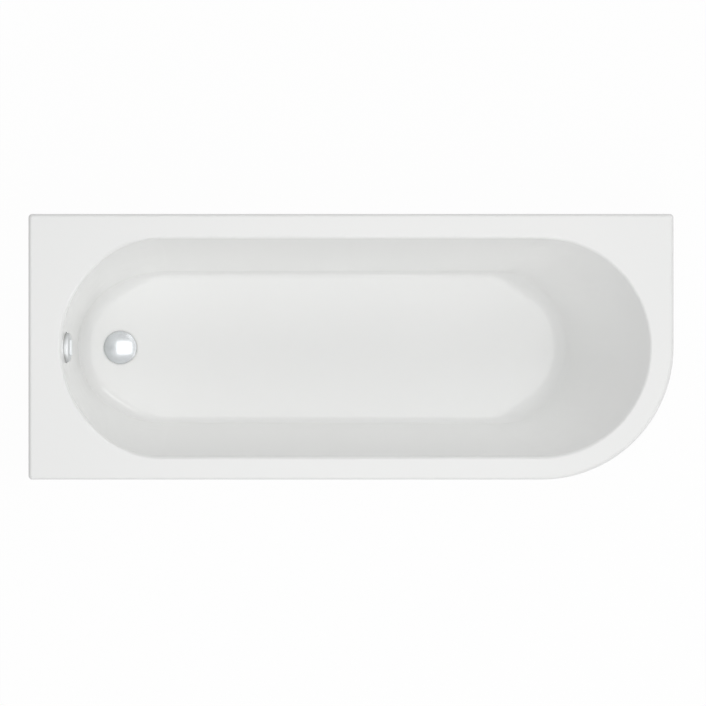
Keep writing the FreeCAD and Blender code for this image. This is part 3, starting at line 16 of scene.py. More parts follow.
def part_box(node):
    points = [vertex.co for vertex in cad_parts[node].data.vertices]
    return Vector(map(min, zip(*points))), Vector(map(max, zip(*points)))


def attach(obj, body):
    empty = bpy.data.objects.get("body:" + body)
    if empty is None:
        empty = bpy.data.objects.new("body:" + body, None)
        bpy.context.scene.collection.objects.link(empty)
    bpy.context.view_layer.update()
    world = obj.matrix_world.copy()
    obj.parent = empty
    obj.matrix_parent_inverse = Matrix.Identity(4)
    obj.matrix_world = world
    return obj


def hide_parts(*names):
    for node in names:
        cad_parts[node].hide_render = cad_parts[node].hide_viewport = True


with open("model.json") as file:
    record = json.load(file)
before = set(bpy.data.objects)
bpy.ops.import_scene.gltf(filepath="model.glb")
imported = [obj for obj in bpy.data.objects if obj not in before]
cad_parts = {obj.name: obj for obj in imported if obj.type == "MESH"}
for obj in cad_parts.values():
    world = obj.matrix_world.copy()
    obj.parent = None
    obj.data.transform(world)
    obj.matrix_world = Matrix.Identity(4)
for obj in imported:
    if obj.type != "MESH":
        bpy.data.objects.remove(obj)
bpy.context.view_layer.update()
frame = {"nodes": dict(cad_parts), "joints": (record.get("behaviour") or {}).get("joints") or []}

LOG = logging.getLogger("bath")
MM = 0.001


class Grain(Enum):
    """Which way a strip of timber runs, as a turn about the vertical."""

    ALONG_X = 0.0
    ALONG_Y = math.pi / 2


class ShellSide(IntEnum):
    """The two surfaces of the bath's wall, as material indices."""

    FACE = 0
    BACKING = 1


def linear(code: str) -> tuple[float, float, float, float]:
    """Turns an sRGB hex code into a linear colour.

    Args:
        code: Six hex digits after a hash.

    Returns:
        Red, green and blue in linear light, and an alpha of 1.
    """
    shares = [int(code[i : i + 2], 16) / 255 for i in (1, 3, 5)]
    red, green, blue = (s / 12.92 if s <= 0.04045 else ((s + 0.055) / 1.055) ** 2.4 for s in shares)
    return red, green, blue, 1.0


def add_node(
    tree: bpy.types.NodeTree,
    kind: str,
    settings: dict | None = None,
    links: dict | None = None,
) -> bpy.types.Node:
    """Adds a shader node with its settings and links.

    Args:
        tree: Tree that gets the node.
        kind: Node type without its ShaderNode prefix.
        settings: Values by property name, or by input name or number.
        links: Output sockets by the input name or number that they feed.

    Returns:
        The new node.
    """
    node = tree.nodes.new(f"ShaderNode{kind}")
    for key, value in (settings or {}).items():
        if isinstance(key, str) and hasattr(node, key):
            setattr(node, key, value)
        else:
            node.inputs[key].default_value = value
    for key, socket in (links or {}).items():
        tree.links.new(socket, node.inputs[key])
    return node


@dataclass(frozen=True)
class Finish:
    """What each finish has: a name, a colour and the shader that it starts from."""

    name: str
    color: str
    roughness: float = 0.4
    metallic: float = 0.0
    ior: float = 1.5

    def build(self) -> bpy.types.Material:
        """Makes the material.

        Returns:
            A material with its surface detail added.
        """
        material = bpy.data.materials.new(self.name)
        material.use_nodes = True
        tree = material.node_tree
        tree.nodes.clear()
        start = {"Base Color": linear(self.color), "Roughness": self.roughness}
        start |= {"Metallic": self.metallic, "IOR": self.ior}
        shader = add_node(tree, "BsdfPrincipled", start)
        add_node(tree, "OutputMaterial", links={"Surface": shader.outputs["BSDF"]})
        self.detail(tree, shader, add_node(tree, "TexCoord").outputs["Object"])
        material.diffuse_color = linear(self.color)
        return material

    def detail(self, tree: bpy.types.NodeTree, shader: bpy.types.Node, place: bpy.types.NodeSocket) -> None:
        """Adds what the surface shows close up.

        Args:
            tree: The material's node tree.
            shader: Its principled shader.
            place: Object coordinates in metres.
        """
        raise NotImplementedError


@dataclass(frozen=True)
class FormedAcrylic(Finish):
    """Cast acrylic sheet, vacuum formed: deep even gloss, with a faint ripple left by the mould."""

    second: str = "#F6F7F6"
    ripple_mm: float = 14.0
    ripple_depth_mm: float = 0.012
    cloud_mm: float = 420.0

    def detail(self, tree: bpy.types.NodeTree, shader: bpy.types.Node, place: bpy.types.NodeSocket) -> None:
        """Drifts the white very slightly over the sheet and lets the gloss waver.

        Args:
            tree: The material's node tree.
            shader: Its principled shader.
            place: Object coordinates in metres.
        """
        cloud = add_node(tree, "TexNoise", {"Scale": 1000 / self.cloud_mm, "Detail": 1.0}, {"Vector": place})
        shades = {"data_type": "RGBA", "A": linear(self.color), "B": linear(self.second)}
        drift = add_node(tree, "Mix", shades, {"Factor": cloud.outputs["Fac"]})
        tree.links.new(drift.outputs["Result"], shader.inputs["Base Color"])
        waves = {"Scale": 1000 / self.ripple_mm, "Detail": 1.0}
        ripple = add_node(tree, "TexNoise", waves, {"Vector": place})
        bump = {"Strength": 1.0, "Distance": self.ripple_depth_mm * MM}
        surface = add_node(tree, "Bump", bump, {"Height": ripple.outputs["Fac"]})
        tree.links.new(surface.outputs["Normal"], shader.inputs["Normal"])


@dataclass(frozen=True)
class GlassFibre(Finish):
    """Chopped glass strands in polyester resin, sprayed and rolled: dull, with strands lying every way."""

    strand_color: str = "#E4E0D3"
    strand_length_mm: float = 50.0
    # Wider than real strands of about 1 mm, so that they show.
    strand_width_mm: float = 2.5
    strand_depth_mm: float = 0.6
    strand_turns: tuple[tuple[float, float, float], ...] = (
        (0.1, 0.2, 0.4),
        (0.3, 1.0, -0.6),
        (0.5, -1.0, 0.5),
        (0.2, 0.5, 1.5),
    )
    resin_level: float = 0.45
    strand_level: float = 0.75

    def detail(self, tree: bpy.types.NodeTree, shader: bpy.types.Node, place: bpy.types.NodeSocket) -> None:
        """Lays four sets of stretched streaks across each other.

        Args:
            tree: The material's node tree.
            shader: Its principled shader.
            place: Object coordinates in metres.
        """
        length, width = self.strand_length_mm * MM, self.strand_width_mm * MM
        noise = {"Scale": 1.0, "Detail": 2.0}
        height = None
        for turn in self.strand_turns:
            mapping = {"vector_type": "TEXTURE", "Rotation": turn, "Scale": (length, width, width)}
            lie = add_node(tree, "Mapping", mapping, {"Vector": place})
            streak = add_node(tree, "TexNoise", noise, {"Vector": lie.outputs["Vector"]})
            links = {0: streak.outputs["Fac"]}
            if height is not None:
                links[1] = height
            height = add_node(tree, "Math", {"operation": "MAXIMUM"}, links).outputs[0]
        tone = add_node(tree, "ValToRGB", links={"Fac": height})
        tone.color_ramp.elements[0].position = self.resin_level
        tone.color_ramp.elements[0].color = linear(self.color)
        tone.color_ramp.elements[1].position = self.strand_level
        tone.color_ramp.elements[1].color = linear(self.strand_color)
        tree.links.new(tone.outputs["Color"], shader.inputs["Base Color"])
        bump = {"Strength": 1.0, "Distance": self.strand_depth_mm * MM}
        surface = add_node(tree, "Bump", bump, {"Height": height})
        tree.links.new(surface.outputs["Normal"], shader.inputs["Normal"])


@dataclass(frozen=True)
class ChromePlate(Finish):
    """Chromium on brass: bright, with a soft edge to what it mirrors and a few wiping marks in its gloss."""

    metallic: float = 1.0
    roughness: float = 0.2
    wipe_mm: float = 9.0
    wipe_roughness: float = 0.26
    wipe_levels: tuple[float, float] = (0.35, 0.75)

    def detail(self, tree: bpy.types.NodeTree, shader: bpy.types.Node, place: bpy.types.NodeSocket) -> None:
        """Varies the gloss in soft patches.

        Args:
            tree: The material's node tree.
            shader: Its principled shader.
            place: Object coordinates in metres.
        """
        wipe = add_node(tree, "TexNoise", {"Scale": 1000 / self.wipe_mm, "Detail": 3.0}, {"Vector": place})
        low, high = self.wipe_levels
        span = {"From Min": low, "From Max": high, "To Min": self.roughness, "To Max": self.wipe_roughness}
        gloss = add_node(tree, "MapRange", span, {"Value": wipe.outputs["Fac"]})
        tree.links.new(gloss.outputs["Result"], shader.inputs["Roughness"])


@dataclass(frozen=True)
class ZincPlate(Finish):
    """Zinc on mild steel: cool grey, with the crystals of the coating in flat patches."""

    metallic: float = 1.0
    roughness: float = 0.34
    second: str = "#9FA4A8"
    crystal_mm: float = 7.0
    brighter: float = 0.07
    duller: float = 0.1

    def detail(self, tree: bpy.types.NodeTree, shader: bpy.types.Node, place: bpy.types.NodeSocket) -> None:
        """Gives each crystal its own shade and gloss.

        Args:
            tree: The material's node tree.
            shader: Its principled shader.
            place: Object coordinates in metres.
        """
        crystal = add_node(tree, "TexVoronoi", {"Scale": 1000 / self.crystal_mm}, {"Vector": place})
        shade = add_node(tree, "SeparateColor", links={"Color": crystal.outputs["Color"]})
        tint = add_node(tree, "ValToRGB", links={"Fac": shade.outputs[0]})
        tint.color_ramp.elements[0].color = linear(self.second)
        tint.color_ramp.elements[1].color = linear(self.color)
        tree.links.new(tint.outputs["Color"], shader.inputs["Base Color"])
        span = {"To Min": self.roughness - self.brighter, "To Max": self.roughness + self.duller}
        gloss = add_node(tree, "MapRange", span, {"Value": shade.outputs[1]})
        tree.links.new(gloss.outputs["Result"], shader.inputs["Roughness"])


@dataclass(frozen=True)
class MouldedPlastic(Finish):
    """Injection-moulded plastic: an even colour under the fine grain of a spark-eroded mould."""

    # Coarser than a real mould's grain of about 0.1 mm, so that it shows.
    grain_mm: float = 1.4
    grain_depth_mm: float = 0.05
    grain_strength: float = 0.6
    flow_mm: float = 40.0
    flow_shift: float = 0.06

    def detail(self, tree: bpy.types.NodeTree, shader: bpy.types.Node, place: bpy.types.NodeSocket) -> None:
        """Adds the mould's grain and a slow change in gloss.

        Args:
            tree: The material's node tree.
            shader: Its principled shader.
            place: Object coordinates in metres.
        """
        grain = add_node(tree, "TexNoise", {"Scale": 1000 / self.grain_mm, "Detail": 2.0}, {"Vector": place})
        bump = {"Strength": self.grain_strength, "Distance": self.grain_depth_mm * MM}
        surface = add_node(tree, "Bump", bump, {"Height": grain.outputs["Fac"]})
        tree.links.new(surface.outputs["Normal"], shader.inputs["Normal"])
        flow = add_node(tree, "TexNoise", {"Scale": 1000 / self.flow_mm, "Detail": 1.0}, {"Vector": place})
        span = {"To Min": self.roughness - self.flow_shift, "To Max": self.roughness + self.flow_shift}
        gloss = add_node(tree, "MapRange", span, {"Value": flow.outputs["Fac"]})
        tree.links.new(gloss.outputs["Result"], shader.inputs["Roughness"])


@dataclass(frozen=True)
class PressedRubber(Finish):
    """Pressed EPDM rubber: near black and matt, with a bloom of talc."""

    bloom: str = "#3A3A3B"
    bloom_mm: float = 6.0
    bloom_level: float = 0.4

    def detail(self, tree: bpy.types.NodeTree, shader: bpy.types.Node, place: bpy.types.NodeSocket) -> None:
        """Dusts the black with paler patches.

        Args:
            tree: The material's node tree.
            shader: Its principled shader.
            place: Object coordinates in metres.
        """
        dust = add_node(tree, "TexNoise", {"Scale": 1000 / self.bloom_mm, "Detail": 4.0}, {"Vector": place})
        tone = add_node(tree, "ValToRGB", links={"Fac": dust.outputs["Fac"]})
        tone.color_ramp.elements[0].position = self.bloom_level
        tone.color_ramp.elements[0].color = linear(self.color)
        tone.color_ramp.elements[1].color = linear(self.bloom)
        tree.links.new(tone.outputs["Color"], shader.inputs["Base Color"])


@dataclass(frozen=True)
class Chipboard(Finish):
    """Pressed wood chips in resin: flakes of several browns, slightly open between them."""

    dark: str = "#8E6B45"
    pale: str = "#D6B98A"
    chip_mm: float = 5.0
    chip_depth_mm: float = 0.25

    def detail(self, tree: bpy.types.NodeTree, shader: bpy.types.Node, place: bpy.types.NodeSocket) -> None:
        """Gives each chip its own brown and a low edge.

        Args:
            tree: The material's node tree.
            shader: Its principled shader.
            place: Object coordinates in metres.
        """
        chip = add_node(tree, "TexVoronoi", {"Scale": 1000 / self.chip_mm}, {"Vector": place})
        shade = add_node(tree, "SeparateColor", links={"Color": chip.outputs["Color"]})
        tone = add_node(tree, "ValToRGB", links={"Fac": shade.outputs[0]})
        tone.color_ramp.elements[0].color = linear(self.dark)
        tone.color_ramp.elements[1].color = linear(self.pale)
        middle = tone.color_ramp.elements.new(0.5)
        middle.color = linear(self.color)
        tree.links.new(tone.outputs["Color"], shader.inputs["Base Color"])
        bump = {"Strength": 1.0, "Distance": self.chip_depth_mm * MM, "invert": True}
        surface = add_node(tree, "Bump", bump, {"Height": chip.outputs["Distance"]})
        tree.links.new(surface.outputs["Normal"], shader.inputs["Normal"])


@dataclass(frozen=True)
class PlanedSoftwood(Finish):
    """Planed spruce: pale early wood between darker late-wood lines that run with the strip."""

    late: str = "#B98B55"
    ring_mm: float = 4.0
    ring_strength: float = 0.3
    ring_depth_mm: float = 0.1
    # How many times longer than wide the growth lines are drawn.
    run: float = 14.0
    tilt: float = 0.3
    waver: float = 2.5
    waver_scale: float = 0.4
    grain: Grain = Grain.ALONG_X

    def detail(self, tree: bpy.types.NodeTree, shader: bpy.types.Node, place: bpy.types.NodeSocket) -> None:
        """Draws wavering growth lines along the strip.

        Args:
            tree: The material's node tree.
            shader: Its principled shader.
            place: Object coordinates in metres.
        """
        strip = {"vector_type": "TEXTURE", "Scale": (self.run, 1.0, 1.0)}
        strip["Rotation"] = (self.tilt, 0.0, self.grain.value)
        lie = add_node(tree, "Mapping", strip, {"Vector": place})
        # A wave texture's band is pi / 10 long at a scale of 1.
        wave = {"bands_direction": "Y", "Scale": math.pi / 10 / (self.ring_mm * MM)}
        wave |= {"Distortion": self.waver, "Detail": 2.0, "Detail Scale": self.waver_scale}
        rings = add_node(tree, "TexWave", wave, {"Vector": lie.outputs["Vector"]})
        tone = add_node(tree, "ValToRGB", links={"Fac": rings.outputs["Fac"]})
        tone.color_ramp.elements[0].color = linear(self.color)
        tone.color_ramp.elements[1].color = linear(self.late)
        tree.links.new(tone.outputs["Color"], shader.inputs["Base Color"])
        bump = {"Strength": self.ring_strength, "Distance": self.ring_depth_mm * MM}
        surface = add_node(tree, "Bump", bump, {"Height": rings.outputs["Fac"]})
        tree.links.new(surface.outputs["Normal"], shader.inputs["Normal"])


ACRYLIC = FormedAcrylic("formed_acrylic", "#F9F9F8", roughness=0.14, ior=1.49)
BACKING = GlassFibre("glass_fibre_backing", "#CFC8B4", roughness=0.55, ior=1.54)
PANEL_ACRYLIC = FormedAcrylic("panel_acrylic", "#F4F4F3", roughness=0.18, ior=1.49, ripple_depth_mm=0.02)
CHROME = ChromePlate("chrome_plate", "#C6C9CB")
SATIN_CHROME = ChromePlate("satin_chrome_plate", "#D8DADB", roughness=0.5, wipe_roughness=0.56)
ZINC = ZincPlate("zinc_plate", "#C3C7CA")
BRIGHT_ZINC = ZincPlate("bright_zinc", "#CDD0D2", roughness=0.26, crystal_mm=2.0, second="#B5B9BC")
WHITE_PLASTIC = MouldedPlastic("white_polypropylene", "#E2E2DE", roughness=0.38, ior=1.49)
GREY_PLASTIC = MouldedPlastic("grey_acetal", "#8B8E90", roughness=0.42, ior=1.48)
HOSE_PLASTIC = MouldedPlastic("grey_hose_plastic", "#B4B6B5", roughness=0.45, grain_mm=0.9, ior=1.5)
BLACK_PLASTIC = MouldedPlastic("black_polypropylene", "#232425", roughness=0.48, ior=1.49)
RUBBER = PressedRubber("pressed_rubber", "#1C1C1D", roughness=0.75, ior=1.52)
BOARD = Chipboard("chipboard", "#B48E5E", roughness=0.85)
TIMBER_X = PlanedSoftwood("planed_softwood_long", "#DDBF8F", roughness=0.65)
TIMBER_Y = PlanedSoftwood("planed_softwood_cross", "#DDBF8F", roughness=0.65, grain=Grain.ALONG_Y)


@dataclass
class Workshop:
    """Makes each finish once and puts it on pieces."""

    made: dict[str, bpy.types.Material] = field(default_factory=dict)
    sharp_angle: float = math.radians(32)
    weld_gap: float = 0.01 * MM

    def material(self, finish: Finish) -> bpy.types.Material:
        """Gives a finish's material, made the first time that it is asked for.

        Args:
            finish: The finish.

        Returns:
            Its material.
        """
        if finish.name not in self.made:
            self.made[finish.name] = finish.build()
        return self.made[finish.name]

    def coat(self, piece: bpy.types.Object, *finishes: Finish) -> None:
        """Puts finishes on a piece, in the order of its material indices.

        Args:
            piece: Mesh object.
            finishes: One finish, or one for each material index.
        """
        piece.data.materials.clear()
        for finish in finishes:
            piece.data.materials.append(self.material(finish))

    def smooth(self, node: bpy.types.Object) -> None:
        """Joins a solid's loose triangles for shading and keeps its sharp edges.

        Args:
            node: Object of a solid piece.
        """
        node.data.polygons.foreach_set("use_smooth", [True] * len(node.data.polygons))
        weld = node.modifiers.new("weld", "WELD")
        weld.merge_threshold = self.weld_gap
        split = node.modifiers.new("sharp_edges", "EDGE_SPLIT")
        split.split_angle = self.sharp_angle
        even = node.modifiers.new("even_normals", "WEIGHTED_NORMAL")
        even.keep_sharp = True

    def dress(self, finish: Finish, *names: str) -> None:
        """Smooths and coats solid pieces.

        Args:
            finish: Their finish.
            names: Node names.
        """
        for name in names:
            node = frame["nodes"][name]
            self.smooth(node)
            self.coat(node, finish)
            LOG.info("%s: %s", name, finish.name)

    def finish_piece(self, shape: bmesh.types.BMesh, name: str, finish: Finish) -> bpy.types.Object:
        """Turns a built shape into a smooth, coated object.

        Args:
            shape: The shape, which is freed.
            name: Name of the object.
            finish: Its finish.

        Returns:
            The object, at the origin.
        """
        bmesh.ops.remove_doubles(shape, verts=shape.verts, dist=self.weld_gap)
        bmesh.ops.recalc_face_normals(shape, faces=shape.faces)
        mesh = bpy.data.meshes.new(name)
        shape.to_mesh(mesh)
        shape.free()
        mesh.polygons.foreach_set("use_smooth", [True] * len(mesh.polygons))
        piece = bpy.data.objects.new(name, mesh)
        bpy.context.scene.collection.objects.link(piece)
        self.coat(piece, finish)
        LOG.info("%s: %d faces, %s", name, len(mesh.polygons), finish.name)
        return piece


@dataclass
class BathShell:
    """The moulded shell: glossy white on its rim and in its basin, resin and glass on its hidden side."""

    workshop: Workshop
    node: str = "bath_shell"
    lip_reach: float = 12 * MM
    deck_thickness: float = 6 * MM
    # Limits of a normal's Z: a face under the first looks down, and one under the second is a wall.
    downward: float = -0.35
    steep: float = 0.1

    def dress(self) -> None:
        """Sorts the wall's faces into its two surfaces and coats them."""
        shell = frame["nodes"][self.node]
        low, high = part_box(self.node)
        sides = [int(self.side(face, low, high)) for face in shell.data.polygons]
        self.workshop.smooth(shell)
        self.workshop.coat(shell, ACRYLIC, BACKING)
        shell.data.polygons.foreach_set("material_index", sides)
        LOG.info("%s: %d of %d faces have the backing", self.node, sum(sides), len(sides))

    def side(self, face: bpy.types.MeshPolygon, low: Vector, high: Vector) -> ShellSide:
        """Tells which surface a face of the wall is on.

        Args:
            face: Triangle of the shell.
            low: Low corner of the shell's box.
            high: High corner of the shell's box.

        Returns:
            BACKING for the underside of the deck and the outside of the basin.
        """
        spot, normal = face.center, face.normal
        radius = (high.y - low.y) / 2
        curve = Vector((high.x - radius, 0.0))
        if spot.z > high.z - self.deck_thickness / 2:
            return ShellSide.FACE
        middle = Vector((min(max(spot.x, low.x + radius), curve.x), 0.0))
        outward = (spot.xy - middle).dot(normal.xy) > 0
        edge = min(spot.x - low.x, high.x - spot.x, spot.y - low.y, high.y - spot.y)
        if spot.x > curve.x and spot.y < 0:
            edge = min(edge, radius - (spot.xy - curve).length)
        if edge < self.lip_reach:
            return ShellSide.FACE
        if normal.z < self.downward:
            return ShellSide.BACKING
        return ShellSide.BACKING if outward and normal.z < self.steep else ShellSide.FACE


@dataclass
class PopUpWaste:
    """Drain flange, plug, lever and the moulded body under the floor."""

    workshop: Workshop

    def dress(self) -> None:
        """Coats the waste's pieces."""
        self.workshop.dress(CHROME, "waste_flange", "plug_cover")
        self.workshop.dress(BRIGHT_ZINC, "plug_stem", "lift_lever", "lever_pin")
        self.workshop.dress(RUBBER, "plug_seal", "waste_gasket_upper", "waste_gasket_lower")
        self.workshop.dress(WHITE_PLASTIC, "waste_body")


@dataclass
class Trap:
    """U-bend, outlet pipe and their hand nuts."""

    workshop: Workshop

    def dress(self) -> None:
        """Coats the trap's pieces."""
        self.workshop.dress(WHITE_PLASTIC, "trap_body", "trap_outlet_pipe")
        self.workshop.dress(WHITE_PLASTIC, "trap_inlet_nut", "trap_outlet_nut")
        self.workshop.dress(RUBBER, "trap_seals")


@dataclass
class OverflowDial:
    """Turn dial, face plate and the elbow behind the wall."""

    workshop: Workshop

    def dress(self) -> None:
        """Coats the overflow's pieces."""
        self.workshop.dress(SATIN_CHROME, "overflow_dial", "overflow_face")
        self.workshop.dress(BRIGHT_ZINC, "overflow_screws")
        self.workshop.dress(GREY_PLASTIC, "dial_spindle")
        self.workshop.dress(WHITE_PLASTIC, "overflow_elbow", "hose_nut_upper", "hose_nut_lower")
        self.workshop.dress(RUBBER, "overflow_gasket")


@dataclass
class OverflowHose:
    """Ribbed hose from the overflow's elbow to the waste, with the control cable inside it."""

    workshop: Workshop
    crest: float = 18 * MM
    root: float = 15.5 * MM
    cuff: float = 16 * MM
    cuff_length: float = 22 * MM
    bore: float = 13.5 * MM
    pitch: float = 9 * MM
    rib_fullness: float = 0.7
    rings_per_rib: int = 8
    ring_sides: int = 40
    route_steps: int = 48
    bend_lead: float = 80 * MM
    bend_corner: float = 32 * MM
    cable_radius: float = 2 * MM
    cable_sides: int = 12
    cable_step: float = 6 * MM
    body: str = "tub"

    def middle(self, node: str) -> Vector:
        """Gives the middle of a node's box."""
        low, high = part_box(node)
        return (low + high) / 2

    def wall_axis(self) -> Vector:
        """Gives the way that the dial faces, square to the foot wall."""
        return Vector(next(joint["axis"] for joint in frame["joints"] if joint["name"] == "dial_turn"))

    def route(self, start: Vector, end: Vector) -> list[Vector]:
        """Gives the control points of a line down the foot wall and level into the waste.

        Args:
            start: Upper end, on the line of the elbow's spigot.
            end: Lower end, on the line of the waste's branch.

        Returns:
            Five points, three of them round the bend.
        """
        wall = self.wall_axis()
        down = Vector((wall.z, 0.0, -wall.x))
        corner = start + down * ((start.z - end.z) / wall.x)
        before, after = corner - down * self.bend_corner, corner + Vector((self.bend_corner, 0.0, 0.0))
        return [start, corner - down * self.bend_lead, before, after, end]

    def line(self, points: Sequence[Vector]) -> list[Vector]:
        """Reads a smooth line from a NURBS curve.

        Args:
            points: Its control points.

        Returns:
            Closely spaced points of the curve.
        """
        curve = bpy.data.curves.new("hose_route", "CURVE")
        curve.dimensions = "3D"
        curve.resolution_u = self.route_steps
        spline = curve.splines.new("NURBS")
        spline.points.add(len(points) - 1)
        for knot, point in zip(spline.points, points):
            knot.co = (*point, 1.0)
        spline.order_u = 3
        spline.use_endpoint_u = True
        holder = bpy.data.objects.new("hose_route", curve)
        mesh = bpy.data.meshes.new_from_object(holder)
        line = [vertex.co.copy() for vertex in mesh.vertices]
        bpy.data.meshes.remove(mesh)
        bpy.data.objects.remove(holder)
        bpy.data.curves.remove(curve)
        return line

    def frames(self, line: Sequence[Vector], distances: Sequence[float]) -> list[Matrix]:
        """Sets a frame across a line at each distance along it.

        Args:
            line: Points of the line, in a plane of constant Y.
            distances: Distances from its start.

        Returns:
            Matrices whose Z runs along the line.
        """
        lengths = [0.0]
        for before, after in zip(line, line[1:]):
            lengths.append(lengths[-1] + (after - before).length)
        found = []
        for distance in distances:
            span = min(max(bisect_right(lengths, distance) - 1, 0), len(line) - 2)
            share = (distance - lengths[span]) / (lengths[span + 1] - lengths[span])
            spot = line[span].lerp(line[span + 1], share)
            ahead = (line[min(span + 2, len(line) - 1)] - line[max(span - 1, 0)]).normalized()
            across = Vector((0.0, 1.0, 0.0))
            turn = Matrix((across, ahead.cross(across), ahead)).transposed().to_4x4()
            found.append(Matrix.Translation(spot) @ turn)
        return found

    def length(self, line: Sequence[Vector]) -> float:
        """Gives the length of a line."""
        return sum((after - before).length for before, after in zip(line, line[1:]))

    def rib_radius(self, share: float) -> float:
        """Gives the outer radius at a share of one rib's pitch, round at the crest and narrow at the root."""
        swell = (0.5 - 0.5 * math.cos(2 * math.pi * share)) ** self.rib_fullness
        return self.root + (self.crest - self.root) * swell

    def tube(self, sections: Sequence[tuple[Matrix, float]], sides: int, hollow: bool) -> bmesh.types.BMesh:
        """Bridges rings into a tube or a rod.

        Args:
            sections: Frame and radius of each ring.
            sides: Number of points in a ring.
            hollow: Whether the last ring joins the first. A rod's two ends are filled.

        Returns:
            The shape.
        """
        shape = bmesh.new()
        loops = []
        for matrix, radius in sections:
            ring = bmesh.ops.create_circle(shape, segments=sides, radius=radius, matrix=matrix)
            loops.append(list({edge for vertex in ring["verts"] for edge in vertex.link_edges}))
        following = loops[1:] + loops[:1] if hollow else loops[1:]
        for first, second in zip(loops, following):
            bmesh.ops.bridge_loops(shape, edges=first + second)
        if not hollow:
            bmesh.ops.holes_fill(shape, edges=shape.edges)
        return shape

    def build_hose(self) -> bpy.types.Object:
        """Builds the ribbed hose.

        Returns:
            The hose, in place of its solid.
        """
        line = self.line(self.route(self.middle("hose_nut_upper"), self.middle("hose_nut_lower")))
        length = self.length(line)
        ribs = int((length - 2 * self.cuff_length) / self.pitch)
        first = (length - ribs * self.pitch) / 2
        outside = [(0.0, self.cuff), (first - self.pitch / 4, self.cuff)]
        for step in range(ribs * self.rings_per_rib + 1):
            share = step % self.rings_per_rib / self.rings_per_rib
            outside.append((first + step * self.pitch / self.rings_per_rib, self.rib_radius(share)))
        outside += [(length - first + self.pitch / 4, self.cuff), (length, self.cuff)]
        inside = [(length * step / ribs, self.bore) for step in range(ribs, -1, -1)]
        places = self.frames(line, [distance for distance, _ in outside + inside])
        sections = list(zip(places, [radius for _, radius in outside + inside]))
        shape = self.tube(sections, self.ring_sides, hollow=True)
        hose = self.workshop.finish_piece(shape, "ribbed_hose", HOSE_PLASTIC)
        return self.settle(hose, "overflow_hose")

    def build_cable(self) -> bpy.types.Object:
        """Builds the push-pull cable, from the dial's drum to the lever.

        Returns:
            The cable, in place of its solid.
        """
        _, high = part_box("control_cable")
        wall = self.wall_axis()
        upper = self.middle("hose_nut_upper")
        end = Vector((high.x - self.cable_radius, upper.y, self.middle("hose_nut_lower").z))
        top = high.z - self.cable_radius
        start = Vector((upper.x - (top - upper.z) * wall.z / wall.x, upper.y, top))
        line = self.line(self.route(start, end))
        length = self.length(line)
        steps = int(length / self.cable_step)
        places = self.frames(line, [length * step / steps for step in range(steps + 1)])
        shape = self.tube([(place, self.cable_radius) for place in places], self.cable_sides, hollow=False)
        cable = self.workshop.finish_piece(shape, "push_pull_cable", BLACK_PLASTIC)
        return self.settle(cable, "control_cable")

    def settle(self, piece: bpy.types.Object, node: str) -> bpy.types.Object:
        """Puts a piece on the tub in place of its solid.

        Args:
            piece: New piece.
            node: The solid that it stands for.

        Returns:
            The piece.
        """
        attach(piece, self.body)
        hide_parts(node)
        return piece

    def build(self) -> None:
        """Builds the hose and its cable."""
        self.build_hose()
        self.build_cable()


